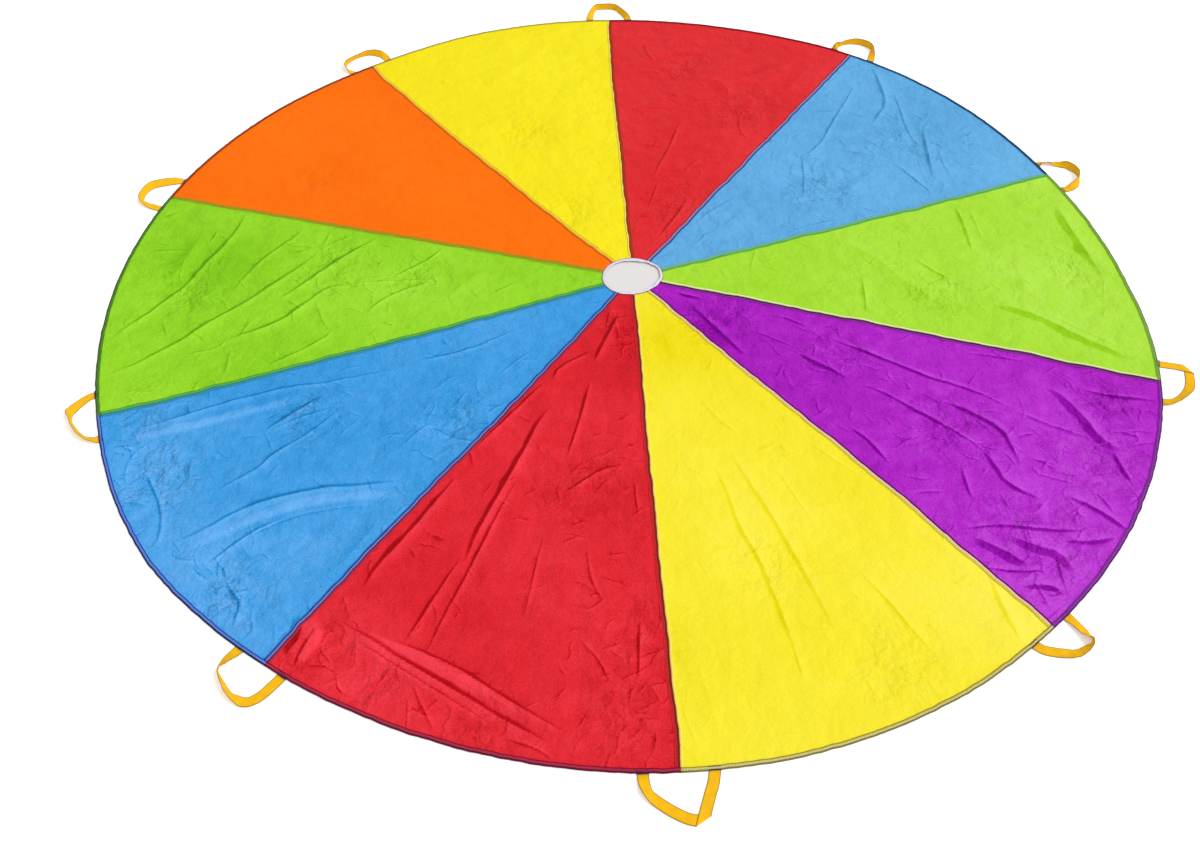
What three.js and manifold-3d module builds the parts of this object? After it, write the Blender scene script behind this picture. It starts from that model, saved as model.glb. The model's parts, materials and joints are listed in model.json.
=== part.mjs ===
// Play parachute lying spread out on a floor: ten cloth gores sewn into a round canopy with a bound vent hole,
// and ten webbing handles whose ends are sewn under the rim.
// Millimetres. +X is right, +Y is away from the nearest handle, +Z is up and the floor is z = 0.
import * as THREE from "three";
import { mergeVertices } from "three/addons/utils/BufferGeometryUtils.js";
import Module from "manifold-3d";

const wasm = await Module();
wasm.setup();

// Clearance between pieces that touch on the real thing
const fit = 0.3;

// Canopy
const canopyRadius = 1500;
const clothThick = 1;
const hemWidth = 11;
const hemStep = 0.8;
const gores = ["red", "blue", "green", "purple", "yellow", "red", "blue", "green", "orange", "yellow"];
const firstSeamAngle = 92.85;

// How the cloth happens to lie: each seam end's shift along the rim, clockwise, each seam's sideways bow half way,
// and how far the rim lies past the canopy's radius at each seam end and at each gore's middle
const seamDrift = [33, 35, 14, 12, -9, -17, -9, -4, -4, 17];
const seamBow = [0, 0, 12, 0, 0, 12, -6, 0, 0, 0];
const seamReach = [-4, 13, -17, 2, -2, -3, -6, -1, 3, -20];
const goreReach = [-3, 5, -20, 1, 2, -10, 10, 0, -5, -4];

// Felled seams: the band lies on the gore after the seam (1) or before it (-1), going clockwise
const seamBandWidth = 13;
const seamBandThick = 0.8;
const seamSides = [1, 1, 1, -1, 1, 1, 1, 1, -1, 1];

// Vent: the clear hole, off the canopy's centre as it lies, and the binding round its edge
const ventRadius = 85;
const ventCentre = new THREE.Vector2(22, 14);
const ventBindingWidth = 9;
const ventBindingThick = 1;
const ventSegments = 30;

// Handles: flat webbing, whose sewn ends lie under the rim
const webbingWidth = 25;
const webbingThick = 1.4;
const sewnLength = 38;
const handleSteps = 24;

// Fold across the middle, square to nothing but along the green gores' middle lines
const foldAngle = 2.85;
const foldCalm = 110;

// Cloth grid
const rowPitch = 95;
const middleColumns = 7;

// The rim lies over the sewn ends of the webbing, and comes down to the floor behind them
const rimLift = webbingThick + fit;
const rimShelf = sewnLength + 12;
const rimSlope = 60;

// Main folds in the cloth as it lies: from x, y to x, y, height and half width
const folds = [
  [1140, -440, 1275, -665, 11, 62],
  [560, -535, 690, -700, 8, 60],
  [700, -870, 1000, -1030, 10, 90],
  [300, -190, 960, -455, 7, 70],
  [1020, 0, 1330, -290, 10, 80],
  [1060, 330, 1085, 110, 9, 75],
  [1010, 930, 1020, 430, 10, 80],
  [780, 890, 590, 580, 7, 70],
  [280, 900, 60, 520, 6, 90],
  [-1190, 240, -1300, -30, 8, 75],
  [-760, 190, -1330, -330, 9, 80],
  [-1050, -930, -860, -820, 9, 80],
  [-860, -820, -540, -770, 8, 80],
  [-1310, -600, -810, -500, 7, 75],
  [-235, -540, -395, -985, 12, 70],
  [-395, -985, -500, -1200, 9, 65],
  [-640, -1090, -430, -735, 9, 65],
  [-640, -1170, -140, -1370, 11, 75],
  [225, -630, 405, -1150, 9, 85],
  [135, -960, 165, -1380, 7, 85],
  [530, -1080, 680, -1250, 6, 80],
  [-1080, 640, -700, 810, 6, 90],
  [-660, 430, -230, 310, 6, 80],
  [-540, 1040, -230, 1120, 6, 90],
];

// Each handle's lay: points on the strap's middle line from the anticlockwise root to the clockwise one.
// Along the rim clockwise from the seam, out from the hinge line, and the strap's roll from flat in degrees.
const handleLays = [
  [[-75, 0, 0], [-69, 34, 72], [-50, 72, 90], [-16, 89, 90], [22, 88, 90], [50, 64, 90], [69, 34, 72], [73, 0, 0]],
  [[-70, 0, 0], [-63, 34, 72], [-44, 68, 88], [-8, 88, 84], [30, 90, 84], [58, 76, 90], [75, 46, 78], [81, 20, 20], [81, 0, 0]],
  [[-59, 0, 0], [-54, 34, 62], [-34, 64, 84], [0, 82, 88], [34, 84, 90], [62, 68, 112], [77, 42, 150], [84, 16, 178], [84, 0, 180]],
  [[-68, 0, 0], [-70, 32, 22], [-66, 57, 42], [-48, 76, 72], [-14, 84, 75], [24, 78, 62], [54, 58, 42], [74, 28, 14], [76, 0, 0]],
  [[-48, 0, 0], [-46, 35, 18], [-44, 66, 66], [-28, 80, 90], [-6, 80, 112], [20, 76, 160], [46, 50, 180], [67, 20, 180], [70, 0, 180]],
  [[-70, 0, 0], [-59, 36, 0], [-46, 72, 8], [-33, 92, 64], [-20, 98, 118], [2, 94, 164], [34, 72, 168], [64, 44, 92], [76, 18, 12], [78, 0, 0]],
  [[-53, 0, 0], [-45, 34, 0], [-35, 66, 8], [-16, 90, 34], [6, 94, 72], [30, 85, 90], [58, 70, 90], [78, 56, 80], [85, 34, 28], [82, 0, 0]],
  [[-83, 0, 0], [-78, 24, 30], [-58, 45, 54], [-22, 61, 62], [14, 70, 80], [42, 67, 70], [60, 47, 28], [76, 22, 0], [80, 0, 0]],
  [[-60, 0, 0], [-56, 34, 8], [-46, 64, 32], [-24, 86, 64], [6, 92, 72], [36, 84, 62], [62, 62, 48], [82, 34, 34], [85, 0, 0]],
  [[-75, 0, 0], [-84, 34, 58], [-76, 56, 82], [-50, 72, 86], [-8, 78, 88], [34, 72, 86], [60, 48, 58], [69, 20, 16], [67, 0, 0]],
];

// Colours of the cloth and the trims
const clothColours = {
  red: 0xdf2a33,
  blue: 0x429de2,
  green: 0xade33f,
  purple: 0xa528be,
  yellow: 0xf7e828,
  orange: 0xfa7814,
};
const webbingColour = 0xfab910;
const bindingColour = 0x8d86b4;

// Values that follow
const goreCount = gores.length;
const degree = Math.PI / 180;
const clothEdgeRadius = ventRadius + ventBindingThick + 2 * fit;
const bandColumn = seamBandWidth + 2 * fit;
const ventRow = ventBindingWidth + fit;
const foldAcross = new THREE.Vector2(-Math.sin(foldAngle * degree), Math.cos(foldAngle * degree));

const mix = (a, b, t) => a + (b - a) * t;
const pick = (list, i) => list[((i % list.length) + list.length) % list.length];
const smooth = (t) => {
  const c = THREE.MathUtils.clamp(t, 0, 1);
  return c * c * (3 - 2 * c);
};
const polar = (angle, radius) => new THREE.Vector2(Math.cos(angle) * radius, Math.sin(angle) * radius);

// A place round the canopy is a number of gores clockwise from the first seam: whole numbers are seams.
function seamAngle(k) {
  const even = firstSeamAngle * degree - (k * 2 * Math.PI) / goreCount;
  return even - pick(seamDrift, k) / canopyRadius;
}

function rimRadius(place) {
  const knot = (i) => (i % 2 === 0 ? pick(seamReach, i / 2) : pick(goreReach, (i - 1) / 2));
  const i = Math.floor(place * 2);
  const t = place * 2 - i;
  const [a, b, c, d] = [knot(i - 1), knot(i), knot(i + 1), knot(i + 2)];
  const bend = 2 * a - 5 * b + 4 * c - d + (3 * b - a - 3 * c + d) * t;
  return canopyRadius + b + 0.5 * t * (c - a + t * bend);
}

function rimPoint(place) {
  const k = Math.floor(place);
  return polar(mix(seamAngle(k), seamAngle(k + 1), place - k), rimRadius(place));
}

function ventSeamAngle(k) {
  const out = rimPoint(k).sub(ventCentre);
  const near = seamAngle(k);
  const turn = Math.round((near - out.angle()) / (2 * Math.PI));
  return out.angle() + turn * 2 * Math.PI;
}

function clothEdgePoint(place) {
  const k = Math.floor(place);
  const angle = mix(ventSeamAngle(k), ventSeamAngle(k + 1), place - k);
  return polar(angle, clothEdgeRadius).add(ventCentre);
}

// Rows run from the vent to the rim, each at a distance from one or the other.
function rowShare(place, row) {
  const length = rimPoint(place).distanceTo(clothEdgePoint(place));
  return row.fromRim === undefined ? row.fromVent / length : 1 - row.fromRim / length;
}

function canopyPoint(place, row) {
  const share = rowShare(place, row);
  const inner = clothEdgePoint(place);
  const outer = rimPoint(place);
  const k = Math.floor(place);
  const bow = mix(pick(seamBow, k), pick(seamBow, k + 1), place - k) * Math.sin(Math.PI * share);
  const along = outer.clone().sub(inner).normalize();
  return new THREE.Vector2(
    mix(inner.x, outer.x, share) + along.y * bow,
    mix(inner.y, outer.y, share) - along.x * bow,
  );
}

// Height of the cloth's underside over the floor
function foldHeight([x1, y1, x2, y2, height, halfWidth], p) {
  const length2 = (x2 - x1) ** 2 + (y2 - y1) ** 2;
  const along = ((p.x - x1) * (x2 - x1) + (p.y - y1) * (y2 - y1)) / length2;
  const t = THREE.MathUtils.clamp(along, 0, 1);
  const away = Math.hypot(p.x - mix(x1, x2, t), p.y - mix(y1, y2, t)) / halfWidth;
  return away < 1 ? height * (1 - away * away) ** 2 * (1 - 0.6 * (2 * t - 1) ** 4) : 0;
}

function foldSide(p) {
  return p.clone().sub(ventCentre).dot(foldAcross);
}

function clothLift(p, row) {
  const calm = smooth(Math.abs(foldSide(p)) / foldCalm);
  const wrinkles = folds.reduce((sum, fold) => sum + foldHeight(fold, p), 0) * calm;
  const fromRim = row.fromRim === undefined ? Infinity : row.fromRim;
  const shelf = rimLift * (1 - smooth((fromRim - rimShelf) / rimSlope));
  return Math.max(shelf, wrinkles * smooth((fromRim - hemWidth) / rimShelf));
}

function clothRows() {
  const rows = [{ fromVent: 0 }, { fromVent: ventRow }];
  const span = canopyRadius - clothEdgeRadius - ventRow - rimShelf - rimSlope;
  const count = Math.round(span / rowPitch);
  for (let i = 1; i < count; i++) {
    rows.push({ fromRim: rimShelf + rimSlope + span * (1 - i / count) });
  }
  rows.push({ fromRim: rimShelf + rimSlope }, { fromRim: rimShelf });
  rows.push({ fromRim: hemWidth + 2 * fit }, { fromRim: hemWidth, hem: true }, { fromRim: 0, hem: true });
  return rows;
}

const rows = clothRows();

// A closed solid between two grids of points, the upper and the lower one
function solidBetween(upper, lower) {
  const rowCount = upper.length;
  const columnCount = upper[0].length;
  const vertices = [...upper.flat(), ...lower.flat()].flatMap((p) => [p.x, p.y, p.z]);
  const top = (r, c) => r * columnCount + c;
  const bottom = (r, c) => rowCount * columnCount + top(r, c);
  const index = [];
  const quad = (a, b, c, d) => index.push(a, b, c, a, c, d);
  for (let r = 0; r + 1 < rowCount; r++) {
    for (let c = 0; c + 1 < columnCount; c++) {
      quad(top(r, c), top(r, c + 1), top(r + 1, c + 1), top(r + 1, c));
      quad(bottom(r, c), bottom(r + 1, c), bottom(r + 1, c + 1), bottom(r, c + 1));
    }
    quad(top(r, 0), top(r + 1, 0), bottom(r + 1, 0), bottom(r, 0));
    const last = columnCount - 1;
    quad(top(r, last), bottom(r, last), bottom(r + 1, last), top(r + 1, last));
  }
  for (let c = 0; c + 1 < columnCount; c++) {
    const last = rowCount - 1;
    quad(top(0, c), bottom(0, c), bottom(0, c + 1), top(0, c + 1));
    quad(top(last, c), top(last, c + 1), bottom(last, c + 1), bottom(last, c));
  }
  const geometry = new THREE.BufferGeometry();
  geometry.setAttribute("position", new THREE.Float32BufferAttribute(vertices, 3));
  geometry.setIndex(index);
  return geometry;
}

const lifted = (p, z) => new THREE.Vector3(p.x, p.y, z);

function goreWidth(gore, row) {
  return canopyPoint(gore, row).distanceTo(canopyPoint(gore + 1, row));
}

// A gore's grid columns stand at fixed distances from its two seams, and evenly in between.
function goreGrid(gore) {
  return rows.map((row) => {
    const width = goreWidth(gore, row);
    const offsets = [fit / 2];
    for (let i = 0; i <= middleColumns; i++) {
      offsets.push(mix(bandColumn, width - bandColumn, i / middleColumns));
    }
    offsets.push(width - fit / 2);
    return offsets.map((offset, column) => {
      const point = canopyPoint(gore + offset / width, row);
      const atFirst = column < 2 ? canopyPoint(gore, row) : point;
      const heightAt = column >= offsets.length - 2 ? canopyPoint(gore + 1, row) : atFirst;
      return lifted(point, clothLift(heightAt, row));
    });
  });
}

function goreGeometry(gore) {
  const lower = goreGrid(gore);
  const upper = lower.map((line, r) =>
    line.map((p) => lifted(p, p.z + clothThick + (rows[r].hem ? hemStep : 0))),
  );
  return solidBetween(upper, lower);
}

// The felled band lies on the cloth beside its seam, from the vent binding to the hem.
function seamGeometry(seam) {
  const side = pick(seamSides, seam);
  const gore = side > 0 ? seam : seam - 1;
  const bandRows = rows.slice(1, -2);
  const grid = (thick) =>
    bandRows.map((row) => {
      const width = goreWidth(gore, row);
      const base = clothLift(canopyPoint(seam, row), row) + clothThick + fit;
      const edges = [fit, fit + seamBandWidth].map((offset) =>
        lifted(canopyPoint(seam + (side * offset) / width, row), base + thick),
      );
      return side > 0 ? edges : edges.reverse();
    });
  return solidBetween(grid(seamBandThick), grid(0));
}

// The binding wraps the vent's edge: a flat band on the cloth and a lip down its inside.
function ventBindingGeometry() {
  const under = clothThick + fit;
  const over = under + ventBindingThick;
  const lip = ventRadius + ventBindingThick;
  const outer = clothEdgeRadius + ventBindingWidth - fit;
  const profile = [
    [ventRadius, fit],
    [lip, fit],
    [lip, under],
    [outer, under],
    [outer, over],
    [ventRadius, over],
    [ventRadius, fit],
  ].map(([x, y]) => new THREE.Vector2(x, y));
  const geometry = new THREE.LatheGeometry(profile, ventSegments);
  geometry.rotateX(Math.PI / 2);
  geometry.translate(ventCentre.x, ventCentre.y, 0);
  return geometry;
}

// A strap swept along its lay. Its lower edge rests on the floor whatever its roll.
function strapGeometry(lay) {
  const points = lay.map(([along, out]) => new THREE.Vector3(along, out, 0));
  const route = new THREE.CatmullRomCurve3(points, false, "centripetal");
  const half = webbingWidth / 2;
  const upper = [];
  const lower = [];
  for (let i = 0; i <= handleSteps; i++) {
    const t = i / handleSteps;
    const p = route.getPoint(t);
    const atRoot = i === 0 || i === handleSteps;
    const ahead = atRoot ? new THREE.Vector3(0, i === 0 ? 1 : -1, 0) : route.getTangent(t);
    const roll = rollAt(lay, t) * degree;
    const side = new THREE.Vector3(-ahead.y, ahead.x, 0).multiplyScalar(Math.cos(roll));
    side.z = Math.sin(roll);
    const face = ahead.clone().cross(side).normalize();
    const rise = half * Math.abs(Math.sin(roll)) + (webbingThick / 2) * Math.abs(Math.cos(roll));
    const middle = new THREE.Vector3(p.x, Math.max(p.y, fit / 2), rise);
    const corner = (s, f) =>
      middle
        .clone()
        .addScaledVector(side, s * half)
        .addScaledVector(face, (f * webbingThick) / 2);
    upper.push([corner(1, 1), corner(-1, 1)]);
    lower.push([corner(1, -1), corner(-1, -1)]);
  }
  return solidBetween(upper, lower);
}

function rollAt(lay, t) {
  const place = t * (lay.length - 1);
  const i = Math.min(Math.floor(place), lay.length - 2);
  return mix(lay[i][2], lay[i + 1][2], smooth(place - i));
}

// The hinge line of a handle: square to its seam, just clear of the rim between its two roots
function hingeReach(seam) {
  const out = polar(seamAngle(seam), 1);
  const lay = pick(handleLays, seam);
  const reach = lay.map(([along]) => Math.abs(along)).reduce((a, b) => Math.max(a, b)) + webbingWidth;
  const gorePitch = (2 * Math.PI * canopyRadius) / goreCount;
  let furthest = 0;
  for (let i = -8; i <= 8; i++) {
    furthest = Math.max(furthest, rimPoint(seam + (i / 8) * (reach / gorePitch)).dot(out));
  }
  return furthest + fit;
}

// Manifold solids, for cutting the cloth at the fold
function solidOf(geometry) {
  const bare = geometry.clone();
  bare.deleteAttribute("normal");
  bare.deleteAttribute("uv");
  const merged = mergeVertices(bare, 1e-3);
  return new wasm.Manifold(
    new wasm.Mesh({
      numProp: 3,
      vertProperties: merged.attributes.position.array,
      triVerts: new Uint32Array(merged.index.array),
    }),
  );
}

function geometryOf(solid) {
  const mesh = solid.getMesh();
  const geometry = new THREE.BufferGeometry();
  geometry.setAttribute("position", new THREE.BufferAttribute(mesh.vertProperties, 3));
  geometry.setIndex(new THREE.BufferAttribute(mesh.triVerts, 1));
  return geometry;
}

// The half of space on one side of the fold, clear of it by half the fit
function foldHalf(side) {
  const size = canopyRadius * 3;
  const box = new THREE.BoxGeometry(size, size, size);
  box.translate(0, side * (size / 2 + fit / 2), 0);
  box.rotateZ(foldAngle * degree);
  box.translate(ventCentre.x, ventCentre.y, 0);
  return solidOf(box);
}

function material(colour, roughness) {
  return new THREE.MeshStandardMaterial({ color: colour, roughness, metalness: 0 });
}

const clothMaterials = Object.fromEntries(
  Object.entries(clothColours).map(([name, colour]) => [name, material(colour, 0.55)]),
);
const webbingMaterial = material(webbingColour, 0.8);
const bindingMaterial = material(bindingColour, 0.7);

const parachute = new THREE.Group();
const nearHalf = new THREE.Group();
const farHalf = new THREE.Group();
parachute.add(nearHalf, farHalf);

function add(group, name, geometry, look) {
  geometry.computeVertexNormals();
  const mesh = new THREE.Mesh(geometry, look);
  mesh.name = name;
  group.add(mesh);
  return mesh;
}

function addCutAtFold(name, geometry, look) {
  const whole = solidOf(geometry);
  add(farHalf, name + "_far", geometryOf(whole.intersect(foldHalf(1))), look);
  add(nearHalf, name + "_near", geometryOf(whole.intersect(foldHalf(-1))), look);
}

gores.forEach((colour, gore) => {
  const name = "gore_" + (gore + 1) + "_" + colour;
  const geometry = goreGeometry(gore);
  const sides = [gore, gore + 1].map((seam) => Math.sign(foldSide(rimPoint(seam))));
  if (sides[0] !== sides[1]) {
    addCutAtFold(name, geometry, clothMaterials[colour]);
  } else {
    add(sides[0] > 0 ? farHalf : nearHalf, name, geometry, clothMaterials[colour]);
  }
});

addCutAtFold("vent_binding", ventBindingGeometry(), bindingMaterial);

for (let seam = 0; seam < goreCount; seam++) {
  const half = foldSide(rimPoint(seam)) > 0 ? farHalf : nearHalf;
  const goreBeside = pick(gores, pick(seamSides, seam) > 0 ? seam : seam - 1);
  add(half, "seam_" + (seam + 1), seamGeometry(seam), clothMaterials[goreBeside]);

  const place = new THREE.Group();
  const origin = polar(seamAngle(seam), hingeReach(seam));
  place.position.set(origin.x, origin.y, 0);
  place.rotation.z = seamAngle(seam) - Math.PI / 2;
  half.add(place);
  const lay = pick(handleLays, seam);
  add(place, "handle_" + (seam + 1), strapGeometry(lay), webbingMaterial);
  [lay[0][0], lay[lay.length - 1][0]].forEach((along, i) => {
    const end = new THREE.BoxGeometry(webbingWidth, sewnLength, webbingThick);
    end.translate(along, -sewnLength / 2 - fit / 2, webbingThick / 2);
    add(place, "handle_" + (seam + 1) + "_sewn_end_" + "ab"[i], end, webbingMaterial);
  });
}

// The origin is under the middle of the whole outline, on the floor.
const middle = new THREE.Box3().setFromObject(parachute, true).getCenter(new THREE.Vector3());
parachute.position.set(-middle.x, -middle.y, 0);

export default parachute;
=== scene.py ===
"""Looks of a play parachute lying spread out on a floor.

It has taffeta gores with their creases, felled seams, an overlocked rim, a bound vent and webbing handles.
Sizes are millimetres in the canopy's own frame, whose centre is the canopy's and whose floor is z = 0. They
become metres in the model's frame when a mesh is made.
"""
import json
import math

import bmesh
import bpy
import numpy as np
from mathutils import Matrix, Vector


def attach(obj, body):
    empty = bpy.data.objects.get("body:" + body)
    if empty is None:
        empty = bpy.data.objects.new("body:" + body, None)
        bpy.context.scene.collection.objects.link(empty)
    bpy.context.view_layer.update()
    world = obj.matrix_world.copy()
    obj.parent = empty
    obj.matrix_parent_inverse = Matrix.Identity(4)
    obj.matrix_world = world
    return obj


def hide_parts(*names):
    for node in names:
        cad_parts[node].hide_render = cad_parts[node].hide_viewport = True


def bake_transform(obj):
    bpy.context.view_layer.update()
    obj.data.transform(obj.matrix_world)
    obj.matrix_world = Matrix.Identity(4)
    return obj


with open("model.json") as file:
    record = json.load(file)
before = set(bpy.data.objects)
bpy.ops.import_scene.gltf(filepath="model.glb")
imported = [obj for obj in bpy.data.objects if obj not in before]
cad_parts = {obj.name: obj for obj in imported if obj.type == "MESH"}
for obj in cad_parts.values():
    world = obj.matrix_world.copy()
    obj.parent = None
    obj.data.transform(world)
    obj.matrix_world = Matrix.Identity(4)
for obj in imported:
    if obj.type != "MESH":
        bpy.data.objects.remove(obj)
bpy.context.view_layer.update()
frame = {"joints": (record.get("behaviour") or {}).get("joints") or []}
joints = {joint["name"]: joint for joint in frame["joints"]}

# Canopy
CANOPY_RADIUS = 1500
GORES = ["red", "blue", "green", "purple", "yellow", "red", "blue", "green", "orange", "yellow"]
GORE_COUNT = len(GORES)
FIRST_SEAM_ANGLE = math.radians(92.85)
# How far clockwise of its even place each seam's end lies
SEAM_DRIFT = [33, 35, 14, 12, -9, -17, -9, -4, -4, 17]
# How far clockwise of straight each seam lies, at shares of the way from the vent to the rim
SHIFT_SHARES = [0, 0.15, 0.35, 0.55, 0.75, 0.95, 1]
SEAM_SHIFTS = [
    (-1, -3, -4, -9, -9, -8, 0), (0, 1, -1, 0, 1, -1, 0), (0, 1, 3, 4, 3, -2, 0), (-1, -2, -3, -5, -4, 0, 0),
    (-1, -2, -7, -11, -10, -5, 0), (0, 0, 3, 2, 0, -2, 0), (-1, -3, -3, 1, 4, 1, 0),
    (-4, -9, -14, -12, -9, -5, 0), (1, 2, 5, 2, 2, 1, 0), (-6, -14, -18, -17, -17, -9, 0),
]
# Waves along each seam, and those that only show near the vent: how far they swing, how many there are, where
# in the noise they lie, and its seed
SEAM_WAVES = [(2.5, 9, 0.37, 33), (2.3, 34, 0.71, 34)]
VENT_WAVES = (3.5, 17, 0.53, 37)
# How far each seam's end and the middle of each gore's rim reach beyond the canopy's radius
SEAM_REACH = [-4, 13, -17, 2, -2, -3, -6, -1, 3, -20]
GORE_REACH = [-3, 5, -20, 1, 2, -10, 10, 0, -5, -4]
# Waves along the rim: how far they swing, how many there are in a gore, and a seed
RIM_WAVES = [(1.6, 6, 35), (0.96, 17, 36)]
# The rim's pucker at its stitches: how far it swings, by how much that changes, and how many a gore has
PUCKER = (1.1, 0.7)
PUCKERS = 42
# The side of each seam that its band lies on: 1 is clockwise
SEAM_SIDES = [1, 1, 1, -1, 1, 1, 1, 1, -1, 1]

# Middle fold: the seams and handles on the near half, and the gores that it crosses
NEAR_HANDLES = range(4, 9)
FOLDED_GORES = (3, 8)

# Cloth
CLOTH_LIFT = 1.3
RIM_LIFT = 1.7
RIM_SHELF = 50
RIM_SLOPE = 60
# Over these distances from the rim and from the vent, waves and creases grow to their full height
HEM_CALM = 40
RIM_CALM = 70
VENT_CALM = 60
# How low a wave may reach, against the cloth's level
LOWEST_WAVE = -0.7
# How long the sheets' edges are on smooth cloth, beside creases and on crests, and how far crests reach
COARSE_CELL = 13
MIDDLE_CELL = 7
FINE_CELL = 3.4
CREST_REACH = 6
# An edge is split when it is longer than it should be by this factor
LONG_EDGE = 1.3
# How far from the vent to the rim each gore's sheet reaches, as a share; the hem is made on its own
SHEET_SHARE = 0.9975

# Vent: radius of the opening, and of the seam between the binding tape and the cloth, every 24 degrees
VENT_CENTRE = np.array([22.0, 14.0])
OPENING = [81, 83, 75, 67, 66, 72, 77, 83, 86, 83, 78, 72, 69, 69, 74]
BOUND_EDGE = [89, 90, 85, 82, 82, 84, 87, 90, 92, 90, 85, 79, 76, 76, 82]
CLOTH_UNDER_TAPE = 3
CLOTH_EDGE_RADIUS = 87
VENT_STEPS = 150
TAPE_WIDTH = 9
# The tape in section: the share of the way from the bound edge to the opening, and the height
TAPE_PROFILE = [(0, -0.6), (0, 1.9), (0.2, 2.5), (0.65, 3.2), (0.97, 4.2), (1, 3.4), (0.8, 1.6), (0.4, 0.4)]
TAPE_RIPPLE = 0.3
TAPE_STITCH = {"width": 2.4, "pitch": 4.2, "length": 3.9}
TAPE_STITCH_LIFT = 1.6

# Seams and rim. Profiles are distances out from the rim, or from a seam towards the gore with its band, and
# heights.
SEAM_WIDTH = 12.5
SEAM_STEPS = 230
HEM_WIDTH = 11
HEM_PITCH = 9.0
HEM_PROFILE = [
    (-HEM_WIDTH, -0.3), (-HEM_WIDTH, 0.5), (-10.2, 1.0), (-7.5, 1.35), (-3.0, 1.35), (-0.8, 1.0), (0.1, 0.2),
    (-0.6, -0.7), (-3.0, -0.9), (-10.0, -0.8),
]
BAND_PROFILE = [
    (1.0, -0.5), (1.0, 1.0), (3.0, 1.25), (9.5, 1.1), (SEAM_WIDTH - 0.4, 0.85), (SEAM_WIDTH, -0.5),
]
STITCH_PITCH = 5.6
STITCH_LENGTH = 4.4
LOOP_PITCH = 3.6
SEAM_LOOP_PITCH = LOOP_PITCH * 1.4
LOOP_WIDTH = 1.9
LOOP_LEAN = 0.9
OVERLOCK_REACH = 2.6
# Raised lines: how high they stand, how far their edges drop, and how far in the edges' two bends lie
LINE_LIFT = 1.8
LINE_DROP = 0.5
LINE_EDGE = 0.3
LINE_ROUND = 0.9
# Lines narrower than this are single rows of stitches
NARROW_LINE = 2.5
ROW_WIDTH = 2.2
# A thread in section, in shares of its width, and how deep it is drawn in
STRAND = np.array([(-0.5, 0.0), (0.0, 0.62), (0.5, 0.0)])
STRAND_SINK = 0.12

# Handles
WEBBING_WIDTH = 25
WEBBING_THICK = 1.4
# The webbing in section: how many ribs it has, and how high its grooves and selvedges are, against its ribs
WEBBING_RIBS = 12
WEBBING_GROOVE = 0.8
WEBBING_SELVEDGE = 0.35
# How many rows a strap has for each point of its lay
LAY_ROWS = 6
FLOOR_GAP = 0.1
# The ends under the rim: how far in they start and stop, and how many rows they have
SEWN_LENGTH = 38
SEWN_EDGE = 3
SEWN_ROWS = 6
# How far inside and outside its hinge each handle's start and end points lie; nothing uses these points
HINGE_BLEND = (2, 12)
# Bar tacks at each end: how far out from the rim each row of thread lies, and its width
TACK_ROWS = [(-2.2, 3.0), (-9.4, 2.6)]
TACK_PITCH = 4.0
TACK_LIFT = 1.5
TACK_OVERHANG = 1
# Where each strap's middle lies from one sewn end to the other: along the rim, out from it, and its roll in
# degrees
HANDLE_LAYS = [
    [(-75, 0, 0), (-73, 12, 26), (-69, 32, 48), (-60, 64, 70), (-47, 84, 88), (-22, 87, 90), (10, 87, 90),
     (27, 80, 88), (45, 52, 70), (63, 22, 50), (70, 8, 26), (73, 0, 0)],
    [(-65, 0, 0), (-64, 12, 60), (-59, 28, 108), (-46, 56, 106), (-14, 84, 90), (24, 88, 84), (45, 80, 86),
     (58, 59, 58), (68, 36, 22), (76, 14, 4), (79, 0, 0)],
    [(-59, 0, 0), (-58, 12, -30), (-52, 34, -38), (-36, 62, 10), (-8, 82, 66), (32, 89, 88), (65, 72, 110),
     (81, 45, 148), (86, 16, 178), (85, 0, 180)],
    [(-66, 0, 0), (-67, 20, 0), (-68, 40, 0), (-66, 75, 0), (-40, 76, 180), (-12, 75, 184), (11, 70, 194),
     (31, 60, 208), (52, 46, 214), (67, 31, 208), (76, 13, 192), (78, 0, 180)],
    [(-48, 0, 0), (-46, 22, -14), (-43, 45, -20), (-40, 62, -40), (-33, 73, -86), (-18, 75, -124),
     (-2, 74, -140), (17, 68, -158), (32, 54, -172), (48, 37, -178), (63, 17, -180), (68, 0, -180)],
    [(-70, 0, 0), (-64, 23, 0), (-55, 45, 0), (-47, 65, 0), (-34, 99, 0), (-10, 95, 184), (20, 80, 182),
     (40, 66, 182), (58, 52, 190), (71, 37, 206), (77, 16, 188), (78, 0, 180)],
    [(-51, 0, 0), (-49, 25, 0), (-45, 54, 2), (-35, 77, 6), (-24, 86, 12), (-6, 89, 36), (13, 89, 60),
     (38, 80, 72), (60, 70, 84), (72, 62, 104), (77, 45, 144), (78, 28, 160), (76, 11, 174), (75, 0, 180)],
    [(-83, 0, 0), (-79, 18, 30), (-61, 39, 58), (-29, 54, 70), (3, 62, 84), (27, 64, 62), (46, 54, 20),
     (66, 33, 6), (79, 12, 0), (80, 0, 0)],
    [(-60, 0, 0), (-57, 32, 8), (-52, 58, 30), (-40, 76, 60), (-20, 83, 74), (4, 85, 74), (30, 79, 62),
     (56, 50, 48), (75, 22, 30), (83, 8, 10), (85, 0, 0)],
    [(-75, 0, 0), (-84, 34, 58), (-76, 56, 88), (-50, 72, 110), (-8, 79, 114), (30, 73, 98), (58, 48, 62),
     (69, 20, 16), (67, 0, 0)],
]
# Straps that are folded over flat at a corner, and the point of the lay that the corner is at
FOLDED_CORNERS = {4: 3, 6: 4}
FOLD_REACH = 16
FOLD_RISE = WEBBING_THICK + 0.2
FOLD_BULGE = 0.9
# Up to where a folded strap's upper leg keeps its rise, and over how far it comes down
FOLD_SLOPE = (15, 25)

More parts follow.
